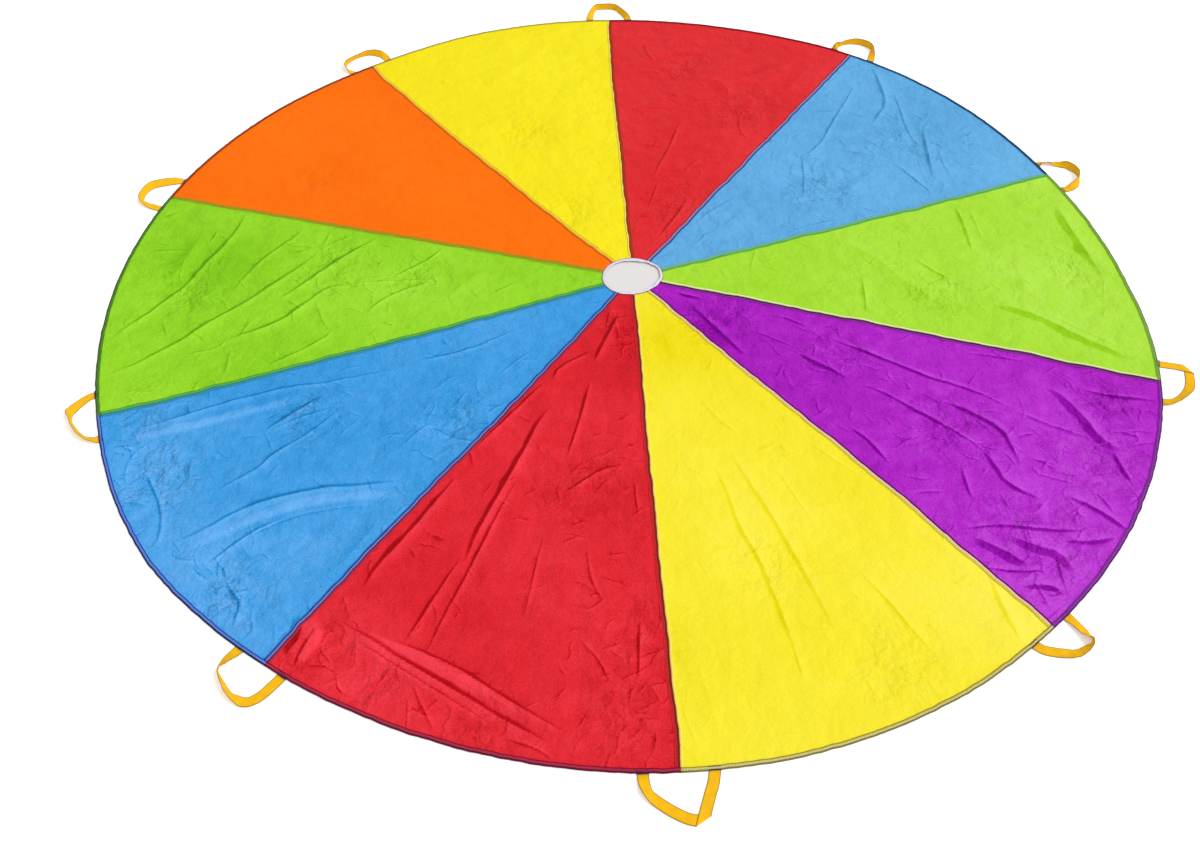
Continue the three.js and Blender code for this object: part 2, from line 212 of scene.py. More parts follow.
# Colours as they look, red, green and blue from 0 to 255: each gore's cloth, its shade and its shine
GORE_COLOURS = [
    (223, 45, 50), (97, 171, 224), (171, 224, 58), (177, 37, 198), (247, 231, 50),
    (223, 40, 51), (65, 156, 224), (149, 214, 40), (252, 112, 4), (245, 228, 26),
]
GORE_SHADES = [
    (205, 22, 30), (74, 150, 206), (148, 209, 24), (146, 4, 168), (236, 218, 8),
    (192, 12, 26), (32, 134, 204), (116, 188, 12), (246, 100, 2), (238, 219, 14),
]
GORE_SHINES = [
    (233, 62, 68), (114, 186, 236), (186, 234, 92), (196, 74, 218), (253, 239, 92),
    (242, 62, 78), (106, 176, 240), (170, 226, 66), (254, 126, 26), (252, 236, 46),
]
THREAD_COLOUR = (44, 32, 108)
# Lines of thread and folded cloth along each seam: from and to, measured from the seam's line towards the
# gore that its band lies on, and the colour. The dark lines just over the seam's line from the band are
# thread with painted shade of the seam's groove, and the wider strips only a little darker than the cloth
# beside them are painted shade.
SEAM_LINES = [
    [(-5.4, 0.2, (255, 242, 104)), (0.2, 8.0, (176, 44, 0)), (8.0, 13.0, (198, 50, 28))],
    [(-7.0, -2.4, (176, 48, 66)), (-2.4, 2.0, (184, 150, 200)), (2.0, 9.6, (58, 84, 160))],
    [(-6.4, -1.4, (114, 188, 178)), (-1.4, 3.0, (116, 194, 136)), (3.0, 11.0, (92, 180, 70))],
    [(-11.2, -6.4, (150, 46, 166)), (-6.4, 0.2, (74, 18, 70)), (0.2, 6.8, (246, 250, 184))],
    [(-4.8, 0.2, (92, 6, 82)), (0.2, 7.2, (255, 212, 186)), (8.4, 10.6, (160, 142, 52))],
    [(-5.0, 0.6, (255, 236, 112)), (0.6, 5.4, (142, 16, 0)), (5.4, 9.0, (190, 38, 36))],
    [(-6.6, -2.6, (178, 42, 66)), (-2.6, 1.0, (108, 30, 84)), (1.0, 5.0, (136, 128, 214)),
     (5.0, 9.6, (18, 62, 150))],
    [(-8.0, -2.0, (48, 150, 186)), (-2.0, 3.4, (36, 146, 116)), (3.4, 8.2, (86, 184, 80)),
     (8.2, 11.4, (76, 160, 52))],
    [(-8.6, -3.6, (228, 138, 22)), (-3.6, 2.4, (188, 152, 12)), (2.4, 9.0, (150, 162, 6))],
    [(-4.4, 0.2, (232, 114, 0)), (0.2, 7.8, (255, 204, 58)), (8.8, 11.2, (238, 176, 28))],
]
# The edge cord, the overlocking and the row of stitches along each gore's rim: from and to, out from the rim.
# The edge cord's dark colour is thread with painted shade where the rim's edge drops to the floor.
HEM_LINES = [(-3.5, 0.4), (-7.9, -3.5), (-10.8, -7.9)]
HEM_COLOURS = [
    ((150, 34, 42), (128, 8, 16), (138, 10, 20)), ((30, 66, 102), (10, 48, 90), (44, 102, 154)),
    ((100, 130, 58), (146, 192, 84), (148, 198, 74)), ((92, 24, 112), (160, 62, 186), (158, 38, 182)),
    ((124, 114, 66), (228, 220, 152), (180, 162, 20)), ((78, 0, 34), (182, 44, 82), (150, 6, 38)),
    ((4, 4, 62), (108, 134, 232), (26, 64, 178)), ((24, 50, 16), (76, 128, 44), (76, 140, 32)),
    ((158, 84, 42), (138, 56, 12), (142, 52, 8)), ((146, 136, 46), (176, 166, 52), (230, 214, 34)),
]
WEBBING_COLOUR = (255, 193, 8)
WEBBING_EDGE_COLOUR = (158, 116, 20)
BINDING_COLOUR = (232, 222, 232)
BINDING_SHADE = (176, 158, 180)
FLOOR_WHITE = (250, 250, 250)
VENT_FLOOR = (226, 223, 222)
BLACK = (0, 0, 0)
WHITE = (255, 255, 255)
CLOTH_SPECULAR = 0.04
THREAD_SPECULAR = 0.12
WEBBING_SPECULAR = 0.2
# Between these, the cloth's roughness changes from patch to patch
CLOTH_ROUGHNESS = (0.46, 0.54)
THREAD_ROUGHNESS = 0.7
WEBBING_ROUGHNESS = 0.72
# Bumps in a metre of the cloth's patches, mottle and grain, and of the thread's twist
PATCHES = 3.0
MOTTLE = 22.0
GRAIN = 240.0
TWIST = 900.0
# How far patches, mottle and grain change the cloth's tone, and how much darker than its shade it gets
PATCH_TONE = 0.22
MOTTLE_TONE = 0.3
GRAIN_TONE = 0.28
DEEPEST = 0.14
# The cloth's facets: how many there are in a metre, how steep they are, and the noise between which their
# edges come and go. The edges carry painted shade of the small creases between facets, with this width
# in metres and this depth of tone.
FACETS = [(8.0, 0.09, 0.5, 0.6), (20.0, 0.13, 0.5, 0.6), (46.0, 0.17, 0.5, 0.58), (95.0, 0.17, 0.5, 0.6)]
FACET_EDGE = 0.0024
FACET_EDGE_SHADE = 0.34
# Pitches of the cloth's threads, and of the webbing's ribs and picks, in metres
THREAD_PITCH = 0.0008
RIB_PITCH = 0.0016
PICK_PITCH = 0.0022
# How far from the webbing's middle, in metres, it darkens towards its selvedges, and how dark it wears
SELVEDGE = (0.0096, 0.0118)
WEAR = 0.16

# Stage
FLOOR_LEVEL = -0.3
FLOOR_REACH = 20000
FLOOR_GLOW = 0.3
FLOOR_ROUGHNESS = 0.9
# The floor is grey up to the first distance from the vent, in metres, and white from the second
VENT_FLOOR_REACH = (0.20, 0.25)
SKY_STRENGTH = 0.62
SUN_STRENGTH = 1.8
SUN_SPREAD = math.radians(35)
SUN_TOWARDS = Vector((0.75, -0.12, 0.85))
# Where the photograph was taken from, in the canopy's frame
CAMERA_PLACE = Vector((-75, -2339, 2096))
CAMERA_TARGET = Vector((-75, -558.9, 0))
CAMERA_ROLL = math.radians(0.0885)
CAMERA_LENS = 31.505
CAMERA_SENSOR = 36
# In metres
CAMERA_REACH = 100

# The noise repeats after this many bumps, and is made this much stronger to reach from about -1 to 1
NOISE_CELLS = 64
NOISE_GAIN = 1.6
# Waves over the whole canopy: height, length and width of one wave, the way it runs, and a seed
CRINKLES = [
    (2.0, 420, 130, 35, 11),
    (1.7, 360, 110, -50, 12),
    (0.9, 170, 60, 15, 13),
    (0.8, 150, 52, -70, 14),
]
# How far the waves stray from straight, over what length, and how much of a wave lies below the cloth's level
CRINKLE_STRAY = 0.5
CRINKLE_STRAY_LENGTH = 260
CRINKLE_LEVEL = 0.35
# How crumpled each gore's cloth is, against the middling 1
CRUMPLE = [0.9, 1.0, 0.8, 1.2, 0.45, 0.9, 1.1, 0.9, 0.6, 0.7]
# How strongly creases stand up in each gore
RELIEF = [0.8, 0.8, 0.8, 1.1, 0.35, 1.0, 1.0, 0.9, 0.4, 0.4]
# How dark and how light creases look in each gore
CREASE_TONES = [0.9, 0.9, 0.8, 1.15, 0.6, 1.15, 1.0, 1.0, 0.6, 0.6]
# Spots of painted light and painted shade on the cloth's colour, where its sheen is stronger or weaker: x, y,
# the radius and how much
GLOW = [
    (-1250, 120, 420, -0.45), (-930, -300, 340, -0.35), (-1000, -1010, 380, 0.5), (-1240, -760, 260, 0.35),
    (1330, 60, 380, 0.35), (480, 60, 300, -0.25), (1150, -760, 400, 0.45), (310, -190, 330, -0.45),
    (900, -1040, 420, 0.55), (130, -260, 260, -0.6), (-600, -1290, 300, 0.3), (-50, -270, 260, -0.3),
    (-830, 1120, 380, -0.4), (1320, 560, 260, 0.3), (-700, -60, 320, 0.25), (330, -900, 260, 0.1),
]
# Places that are crushed finely: x, y and the radius
CRUSHED = [
    (-700, -1210, 150), (-560, -1300, 120), (20, -1180, 170), (-40, -1360, 160), (-330, -1400, 150),
    (-30, -200, 130), (-130, -760, 200), (960, -930, 260), (1180, -680, 200), (820, -560, 200),
    (260, -150, 170), (560, -300, 160), (1250, -480, 150), (-1190, -740, 200), (-940, -1080, 170),
    (-1300, -560, 120), (-860, -520, 150), (-480, -540, 150), (620, 450, 200), (960, 700, 220),
    (170, 330, 200), (420, 900, 220), (-900, 60, 200), (-1280, -60, 170), (-620, 20, 150), (1330, 60, 150),
    (900, -60, 160), (560, -1250, 200), (330, -1000, 160), (-330, 760, 160), (-200, 330, 150),
    (-1000, 500, 160), (240, 1180, 180),
]
# How crushed the cloth is elsewhere and in the middle of a crushed place, and how many radii that reaches
CRUSHED_LEAST = 0.5
CRUSHED_MOST = 1.1
CRUSHED_SPREAD = 1.4
# Short creases: how many are strewn over the canopy, besides one in a crushed place for each of so many
# millimetres of its radius; their lengths; how far they turn from the way that most run there, in degrees;
# and how far they bend, as a share of their length
SPARE_NICKS = 340
NICK_SPACING = 11
NICK_LENGTH = (22, 85)
NICK_TURN = 30
NICK_BEND = 0.09
# Over what length creases change, and how much in height, and in width and shade
ROUGH_LENGTH = 55
ROUGH_HEIGHT = 0.35
ROUGH_WIDTH = 0.3
# Over what width a crest turns from light to dark, and how light it is against its shade
CREST_WIDTH = 2.4
CREST_LIGHT = 0.35
# A bend is a height, the width of its steep side, the width of its gentle side, how dark its steep side
# looks, and the share of the steep side that is evenly dark. A roll is light on both sides instead.
BENDS = {
    "nick": (1.0, 4.5, 15, 0.95, 0.2),
    "line": (1.4, 6, 22, 1.15, 0.2),
    "crease": (2.6, 9.5, 34, 1.5, 0.35),
    "fold": (3.0, 14, 52, 1.5, 0.5),
    "deep": (3.2, 15, 55, 1.9, 0.6),
    "ridge": (5.0, 26, 85, 1.3, 0.8),
    "swell": (4.5, 55, 110, 0.3, 0.0),
    "roll": (3.5, 20, 20, -0.75, 0.35),
}
# Creases: how each is bent, and the points that its crest runs through. The steep side is on the left.
CREASES = [
    # Gore 1
    ("crease", (97, 490), (122, 570), (147, 630), (177, 730), (202, 820)),
    ("line", (57, 900), (197, 880), (267, 865)),
    ("swell", (367, 900), (387, 1000), (357, 1060), (297, 1100)),
    ("line", (427, 710), (402, 760), (406, 840)),
    ("crease", (97, 180), (167, 300), (207, 390)),
    ("line", (192, 515), (227, 570), (262, 600)),
    ("line", (127, 1200), (97, 1260), (90, 1330)),
    ("swell", (407, 1095), (477, 1100), (547, 1140), (640, 1200)),
    ("line", (140, 960), (195, 930), (215, 905)),
    ("swell", (560, 960), (640, 1080), (700, 1180)),
    ("line", (75, 330), (100, 420), (112, 470)),
    # Gore 2
    ("crease", (593, 608), (633, 638), (673, 688), (723, 798), (753, 858), (783, 918), (813, 978),
     (843, 1048)),
    ("fold", (863, 798), (893, 848), (933, 918), (938, 998), (933, 1088), (923, 1168)),
    ("crease", (993, 688), (983, 728), (978, 798), (978, 898), (973, 988)),
    ("fold", (1013, 500), (1023, 608), (1028, 688), (1033, 775)),
    ("line", (1083, 438), (1078, 488), (1063, 568), (1060, 650)),
    ("line", (853, 613), (793, 633), (733, 653)),
    ("crease", (993, 398), (973, 458), (933, 528), (893, 578)),
    ("line", (653, 868), (733, 873), (763, 898)),
    ("line", (803, 1128), (833, 1148), (893, 1178)),
    ("line", (1153, 753), (1183, 783), (1223, 798)),
    ("crease", (578, 400), (593, 508), (598, 600)),
    ("line", (223, 268), (303, 348), (363, 398)),
    ("line", (1143, 722), (1183, 730), (1200, 770)),
    ("swell", (700, 380), (760, 470), (830, 540)),
    ("line", (500, 215), (600, 262), (690, 282)),
    # Gore 3
    ("ridge", (1390, -318), (1312, -262), (1242, -204), (1182, -154), (1122, -116), (1062, -106)),
    ("line", (1382, -288), (1312, -228), (1212, -148)),
    ("ridge", (1417, 20), (1402, 132), (1382, 252), (1372, 352)),
    ("fold", (1057, 130), (1062, 252), (1052, 352)),
    ("line", (1100, 170), (1098, 260), (1088, 340)),
    ("swell", (942, -128), (882, -68), (822, 2), (762, 92), (702, 152), (642, 202)),
    ("crease", (962, 2), (912, 52), (872, 102)),
    ("swell", (1162, -68), (1177, 2), (1172, 92)),
    ("line", (1392, -78), (1407, -28), (1420, 10)),
    ("line", (372, 42), (392, 112), (398, 140)),
    ("crease", (690, -140), (700, -70), (702, 20)),
    # Gore 4
    ("crease", (219, -79), (179, -69), (150, -52)),
    ("fold", (329, -309), (279, -239), (239, -179), (194, -114)),
    ("line", (469, -279), (409, -239), (349, -214)),
    ("fold", (594, -394), (559, -359), (509, -329), (480, -300)),
    ("line", (519, -199), (469, -169), (430, -150)),
    ("crease", (1019, -509), (959, -459), (889, -419), (819, -389), (759, -354), (679, -304), (599, -259),
     (559, -234)),
    ("line", (1199, -609), (1099, -559), (1019, -509)),
    ("crease", (909, -649), (869, -599), (809, -549), (739, -489), (679, -439), (629, -419)),
    ("fold", (991, -695), (984, -619), (969, -569), (909, -519), (839, -479)),
    ("ridge", (1262, -648), (1219, -609), (1199, -539), (1169, -469), (1129, -429)),
    ("fold", (1254, -749), (1244, -709), (1239, -655)),
    ("crease", (662, -694), (619, -609), (579, -569)),
    ("fold", (1010, -800), (939, -749), (929, -699), (909, -649)),
    ("crease", (844, -804), (839, -729), (842, -700)),
    ("line", (779, -779), (729, -779), (700, -786)),
    ("line", (1109, -754), (1049, -729), (1020, -724)),
    ("fold", (1200, -894), (1139, -829), (1079, -789)),
    ("crease", (1099, -894), (999, -894), (889, -879), (799, -889)),
    ("ridge", (933, -994), (879, -949), (819, -914)),
    ("ridge", (1034, -1014), (1019, -959), (959, -939), (909, -914)),
    ("fold", (1159, -914), (1099, -929), (1039, -924)),
    ("crease", (969, -1009), (899, -1009), (829, -999)),
    ("fold", (993, -1074), (969, -1049), (899, -1049)),
    ("line", (999, -1079), (1004, -989), (1010, -960)),
    ("crease", (1409, -479), (1299, -459), (1219, -434)),
    ("line", (1109, -334), (999, -309), (930, -300)),
    ("line", (1329, -609), (1279, -584), (1250, -590)),
    ("line", (1179, -849), (1169, -809), (1150, -780)),
    ("line", (950, -1110), (940, -1060), (930, -1040)),
    ("line", (1280, -760), (1262, -790), (1225, -820)),
    # Gore 5
    ("swell", (142, -330), (122, -290), (102, -210)),
    ("line", (282, -590), (232, -540), (182, -450)),
    ("fold", (372, -1300), (352, -1180), (332, -1090), (302, -970), (262, -880), (242, -770), (212, -690)),
    ("fold", (456, -1170), (422, -1060), (382, -950), (342, -840), (292, -730), (257, -650)),
    ("crease", (668, -1230), (632, -1170), (582, -1080), (532, -1010)),
    ("line", (537, -1350), (512, -1310), (492, -1260)),
    ("fold", (867, -1200), (847, -1110), (837, -1030)),
    ("swell", (182, -1430), (157, -1320), (132, -1210), (102, -1110)),
    ("line", (592, -740), (512, -670), (452, -610)),
    ("line", (322, -658), (360, -634), (392, -615)),
    ("line", (452, -890), (432, -850), (372, -710)),
    ("line", (130, -1440), (110, -1390), (100, -1330)),
    # Gore 6
    ("fold", (-90, -335), (-56, -245), (-21, -150)),
    ("line", (-58, -205), (-52, -170), (-48, -130)),
    ("crease", (-204, -405), (-186, -355), (-104, -300)),
    ("crease", (-158, -670), (-136, -585), (-114, -485), (-101, -400)),
    ("deep", (-390, -985), (-371, -905), (-346, -845), (-306, -745), (-266, -645), (-236, -555),
     (-210, -505)),
    ("crease", (-458, -1228), (-431, -1145), (-401, -1065), (-366, -975), (-326, -855), (-281, -745)),
    ("crease", (-510, -1203), (-476, -1135), (-436, -1045), (-404, -978)),
    ("deep", (-624, -1060), (-596, -1000), (-546, -925), (-496, -845), (-434, -735)),
    ("crease", (-396, -645), (-336, -565), (-286, -495), (-226, -415)),
    ("line", (-394, -700), (-402, -675), (-408, -650)),
    ("crease", (-540, -1192), (-500, -1208), (-396, -1255), (-296, -1320), (-206, -1375), (-136, -1415)),
    ("roll", (-610, -1170), (-505, -1222), (-412, -1270), (-316, -1326), (-240, -1372)),
    ("fold", (-660, -1148), (-586, -1192), (-516, -1237), (-426, -1292), (-346, -1338), (-266, -1388),
     (-180, -1432)),
    ("line", (-640, -1180), (-560, -1232), (-470, -1288), (-380, -1345), (-300, -1392)),
    ("ridge", (-765, -1232), (-738, -1180), (-752, -1130)),
    ("roll", (-722, -1150), (-702, -1190), (-735, -1250)),
    ("crease", (-742, -1262), (-726, -1210), (-712, -1160)),
    ("line", (-421, -1408), (-456, -1345), (-484, -1292)),
    ("line", (-556, -1305), (-540, -1280), (-534, -1262)),
    ("line", (-676, -1305), (-650, -1290), (-640, -1288)),
    ("crease", (10, -1285), (14, -1205), (17, -1145)),
    ("line", (19, -850), (14, -800), (12, -750)),
    ("crease", (-165, -788), (-111, -745), (-76, -715), (-16, -698)),
    ("line", (-248, -1140), (-236, -1075), (-221, -975), (-208, -900)),
    ("line", (-56, -970), (-30, -965), (-11, -963)),
    ("line", (-64, -1100), (-96, -1035), (-106, -950)),
    ("line", (-168, -1468), (-206, -1442), (-270, -1422)),
    ("line", (34, -1458), (42, -1430), (44, -1405)),
    ("line", (-50, -1300), (-75, -1240), (-120, -1190)),
    # Gore 7
    ("crease", (-1298, -587), (-1213, -557), (-1113, -507), (-1013, -467), (-913, -432), (-813, -417),
     (-713, -387), (-640, -365)),
    ("fold", (-950, -590), (-873, -517), (-810, -460)),
    ("line", (-943, -592), (-860, -540), (-773, -497)),
    ("crease", (-578, -334), (-483, -307), (-413, -277), (-323, -217)),
    ("line", (-353, -387), (-313, -342), (-260, -290)),
    ("line", (-518, -427), (-500, -408), (-470, -390)),
    ("line", (-493, -542), (-463, -497), (-430, -445)),
    ("line", (-585, -640), (-553, -592), (-520, -560)),
    ("fold", (-1090, -936), (-1033, -905), (-963, -843), (-893, -810), (-833, -790), (-773, -774),
     (-713, -768), (-580, -752)),
    ("roll", (-1062, -955), (-982, -900), (-892, -850), (-792, -812), (-672, -792), (-542, -785)),
    ("line", (-632, -822), (-772, -840), (-842, -868), (-912, -915), (-960, -960)),
    ("roll", (-1292, -612), (-1202, -586), (-1112, -560), (-962, -500), (-872, -470)),
    ("crease", (-1000, -1000), (-913, -907), (-850, -865)),
    ("crease", (-1028, -782), (-973, -737), (-933, -707), (-913, -667), (-813, -577), (-763, -507)),
    ("crease", (-1138, -950), (-1128, -917), (-1143, -847), (-1173, -787), (-1223, -717)),
    ("line", (-1253, -770), (-1273, -717), (-1263, -657), (-1225, -615)),
    ("line", (-1113, -740), (-1110, -710), (-1113, -677)),
    ("line", (-1093, -947), (-1083, -982), (-1013, -987)),
    ("crease", (-898, -1170), (-893, -1097), (-913, -1077), (-945, -1035)),
    ("line", (-1030, -1005), (-1010, -1025), (-985, -1038)),
    ("line", (-513, -577), (-453, -612), (-403, -617)),
    ("line", (-770, -1130), (-765, -1160), (-790, -1190)),
    ("swell", (-700, -1020), (-640, -930), (-600, -840)),
    ("line", (-1330, -560), (-1300, -530), (-1290, -510)),
    # Gore 8
    ("fold", (-1418, -392), (-1350, -350), (-1290, -295), (-1240, -250), (-1180, -175), (-1100, -100),
     (-1060, -50), (-1000, 20), (-960, 70), (-925, 140)),
    ("line", (-935, 120), (-900, 160), (-838, 202)),
    ("fold", (-1448, -262), (-1420, -210), (-1370, -150), (-1340, -100), (-1290, -30), (-1265, 50),
     (-1230, 130), (-1200, 220), (-1190, 310)),
    ("fold", (-1004, -85), (-955, -30), (-900, 40), (-850, 100), (-800, 150), (-758, 192)),
    ("fold", (-1124, -255), (-1080, -230), (-1000, -190), (-960, -150), (-910, -80), (-880, -40),
     (-810, -20)),
    ("line", (-810, -20), (-740, -10), (-580, 0)),
    ("line", (-1230, -310), (-1140, -290), (-1120, -240)),
    ("crease", (-1152, -55), (-1120, 30), (-1080, 110), (-1030, 170), (-990, 240)),
    ("crease", (-695, 5), (-630, 55), (-580, 100), (-553, 143)),
    ("crease", (-752, -143), (-700, -80), (-640, -40), (-580, -10)),
    ("line", (-835, -220), (-860, -190), (-900, -100)),
    ("crease", (-985, -348), (-940, -320), (-850, -250), (-835, -220)),
    ("line", (-400, -70), (-360, -40), (-320, -10)),
    ("line", (-925, 140), (-915, 180), (-910, 222)),
    ("line", (-1095, -380), (-1102, -330), (-1100, -290)),
    ("line", (-1092, -242), (-1082, -205), (-1070, -168)),
    ("line", (-1440, 122), (-1380, 130), (-1310, 126)),
    ("line", (-1272, 158), (-1262, 190), (-1260, 222)),
    ("swell", (-1350, -20), (-1320, 100), (-1300, 230)),
    ("swell", (-520, -90), (-480, -20), (-420, 40)),
    ("line", (-1395, 330), (-1420, 300), (-1450, 290)),
    # Gore 9
    ("swell", (-1061, 531), (-1021, 551), (-921, 601), (-861, 661)),
    ("line", (-841, 421), (-901, 441), (-981, 471)),
    ("swell", (-831, 511), (-790, 530), (-741, 561)),
    ("line", (-720, 450), (-690, 452), (-640, 440)),
    ("swell", (-1180, 760), (-1090, 830), (-980, 880)),
    # Gore 10
    ("crease", (-633, 1044), (-638, 1060), (-648, 1078)),
    ("swell", (-500, 1020), (-420, 1120), (-360, 1190), (-300, 1290)),
    ("line", (-270, 605), (-283, 655), (-297, 705)),
    ("line", (-205, 680), (-222, 715), (-242, 755)),
    ("line", (-120, 288), (-140, 315), (-162, 352)),
    ("line", (-368, 858), (-380, 885), (-392, 915)),
    ("swell", (-330, 830), (-360, 760), (-420, 700)),
]


def smooth(t):
    c = np.clip(t, 0, 1)
    return c * c * (3 - 2 * c)


def lattice_noise(x, y, seed):
    """Smooth noise from about -1 to 1 with one bump in each unit square."""
    angles = np.random.default_rng(seed).random((NOISE_CELLS, NOISE_CELLS)) * 2 * math.pi
    i, j = np.floor(x).astype(int), np.floor(y).astype(int)
    fx, fy = x - i, y - j

    def corner(di, dj):
        turn = angles[(i + di) % NOISE_CELLS, (j + dj) % NOISE_CELLS]
        return np.cos(turn) * (fx - di) + np.sin(turn) * (fy - dj)

    u, v = (t * t * t * (t * (6 * t - 15) + 10) for t in (fx, fy))
    low = corner(0, 0) * (1 - u) + corner(1, 0) * u
    high = corner(0, 1) * (1 - u) + corner(1, 1) * u
    return NOISE_GAIN * (low * (1 - v) + high * v)


def line_noise(x, seed):
    """Smooth noise along a line, with one bump in each unit."""
    return lattice_noise(x, x * 0, seed)


# Layout of the canopy. A place is a number of gores clockwise from the first seam, and may be an array.
def seam_angle(k):
    return FIRST_SEAM_ANGLE - k * 2 * math.pi / GORE_COUNT - SEAM_DRIFT[k % GORE_COUNT] / CANOPY_RADIUS


SEAM_PLACES = np.arange(-GORE_COUNT, 2 * GORE_COUNT + 1)
SEAM_ANGLES = np.array([seam_angle(k) for k in SEAM_PLACES])


def rim_angle(place):
    return np.interp(place, SEAM_PLACES, SEAM_ANGLES)


def place_of_angle(angle):
    start = seam_angle(0)
    wrapped = start - (start - angle) % (2 * math.pi)
    return np.interp(-wrapped, -SEAM_ANGLES, SEAM_PLACES)


def rim_radius(place):
    knots = np.array([reach for pair in zip(SEAM_REACH, GORE_REACH) for reach in pair], float)
    half = np.asarray(place, float) * 2
    i = np.floor(half).astype(int)
    t = half - i
    a, b, c, d = (knots[(i + step) % len(knots)] for step in (-1, 0, 1, 2))
    bend = 2 * a - 5 * b + 4 * c - d + (3 * b - a - 3 * c + d) * t
    place = half / 2
    ripple = sum(swing * line_noise(place * count, seed) for swing, count, seed in RIM_WAVES)
    between = np.clip(4 * np.abs(place - np.round(place)), 0, 1)
    return CANOPY_RADIUS + b + 0.5 * t * (c - a + t * bend) + ripple * between


def polar(angle, radius):
    return np.stack([np.cos(angle) * radius, np.sin(angle) * radius], -1)


def rim_point(place):
    return polar(rim_angle(place), rim_radius(place))


def vent_seam_angle(k):
    x, y = rim_point(float(k)) - VENT_CENTRE
    angle = math.atan2(y, x)
    return angle + round((seam_angle(k) - angle) / (2 * math.pi)) * 2 * math.pi


VENT_PLACES = np.arange(-1, GORE_COUNT + 2)
VENT_ANGLES = np.array([vent_seam_angle(k) for k in VENT_PLACES])


def round_vent(angle, radii):
    """Smoothed radius at an angle, from radii that stand evenly round the vent."""
    at = np.asarray(angle) / (2 * math.pi) * len(radii)
    i = np.floor(at).astype(int)
    values = np.array(radii, float)
    a, b = values[i % len(radii)], values[(i + 1) % len(radii)]
    return a + (b - a) * smooth(at - i)


def seam_shift(seam, share):
    """How far clockwise a seam's line lies from straight, at a share of the way from the vent to the rim."""
    row = seam % GORE_COUNT
    shift = np.zeros(np.broadcast(row, share).shape)
    for k, shifts in enumerate(SEAM_SHIFTS):
        shift = np.where(row == k, np.interp(share, SHIFT_SHARES, shifts), shift)
    def waves(swing, count, offset, seed):
        return swing * lattice_noise(share * count, row + offset, seed)

    bent = sum(waves(*wave) for wave in SEAM_WAVES) + waves(*VENT_WAVES) * np.exp(-share * 10)
    return shift + bent * np.clip(np.minimum(share * 30, (1 - share) * 20), 0, 1)


def canopy_point(place, share):
    """The point on the cloth at a place, and at a share of the way from the vent's edge to the rim."""
    angle = np.interp(place, VENT_PLACES, VENT_ANGLES)
    inner = polar(angle, round_vent(angle, BOUND_EDGE) - CLOTH_UNDER_TAPE) + VENT_CENTRE
    outer = rim_point(place)
    seam = np.floor(place).astype(int)
    bow = seam_shift(seam, share) + (seam_shift(seam + 1, share) - seam_shift(seam, share)) * (place - seam)
    along = outer - inner
    along /= np.linalg.norm(along, axis=-1, keepdims=True)
    across = np.stack([along[..., 1], -along[..., 0]], -1)
    share = np.asarray(share)[..., None]
    return inner * (1 - share) + outer * share + across * np.asarray(bow)[..., None]


# Height of the cloth
def turned(x, y, degrees):
    c, s = math.cos(math.radians(degrees)), math.sin(math.radians(degrees))
    return x * c + y * s, y * c - x * s


def crinkle(x, y):
    total = np.zeros_like(x)
    for height, length, width, degrees, seed in CRINKLES:
        u, v = turned(x, y, degrees)
        stray = lattice_noise(x / CRINKLE_STRAY_LENGTH, y / CRINKLE_STRAY_LENGTH, seed + 40)
        ridge = 1 - np.abs(lattice_noise(u / length, v / width + CRINKLE_STRAY * stray, seed))
        total += height * (ridge ** 3 - CRINKLE_LEVEL)
    return total


def crushed(x, y):
    total = np.full(x.shape, CRUSHED_LEAST)
    for spot_x, spot_y, radius in CRUSHED:
        away = np.hypot(x - spot_x, y - spot_y) / radius
        total = np.maximum(total, CRUSHED_MOST * (1 - smooth(away / CRUSHED_SPREAD)))
    return total


def glow(x, y):
    total = np.zeros(x.shape)
    for spot_x, spot_y, radius, amount in GLOW:
        total += amount * (1 - smooth(np.hypot(x - spot_x, y - spot_y) / radius))
    return total


def gore_values(x, y, values):
    """The value of the gore that each point lies in."""
    return np.array(values)[np.floor(place_of_angle(np.arctan2(y, x))).astype(int) % GORE_COUNT]


def near_polyline(x, y, points):
    """Distance from the polyline, share of the way along it, and side: 1 on the left and -1 on the right."""
    points = np.array(points, float)
    lengths = np.linalg.norm(np.diff(points, axis=0), axis=1)
    total = lengths.sum()
    best = np.full(x.shape, np.inf)
    share = np.zeros(x.shape)
    side = np.ones(x.shape)
    run = 0.0
    for (x1, y1), (x2, y2), length in zip(points[:-1], points[1:], lengths):
        dx, dy = (x2 - x1) / length, (y2 - y1) / length
        t = np.clip((x - x1) * dx + (y - y1) * dy, 0, length)
        away = np.hypot(x - x1 - t * dx, y - y1 - t * dy)
        closer = away < best
        best = np.where(closer, away, best)
        share = np.where(closer, (run + t) / total, share)
        side = np.where(closer, np.sign((y - y1) * dx - (x - x1) * dy), side)
        run += length
    return best, share, side


def rounded(points):
    """The polyline through the points with its corners cut once."""
    points = np.array(points, float)
    cut = [points[0]]
    for a, b in zip(points[:-1], points[1:]):
        cut += [a * 0.75 + b * 0.25, a * 0.25 + b * 0.75]
    return np.array(cut + [points[-1]])


def nick(random, x, y, degrees):
    """A short bent crease about a point."""
    way = math.radians(degrees)
    along = np.array([math.cos(way), math.sin(way)])
    beside = np.array([-along[1], along[0]])
    length = random.uniform(*NICK_LENGTH)
    bends = random.normal(0, NICK_BEND, 4) * length
    shares = (-0.5, -0.2, 0.2, 0.5)
    return [np.array([x, y]) + along * length * share + beside * bend for share, bend in zip(shares, bends)]


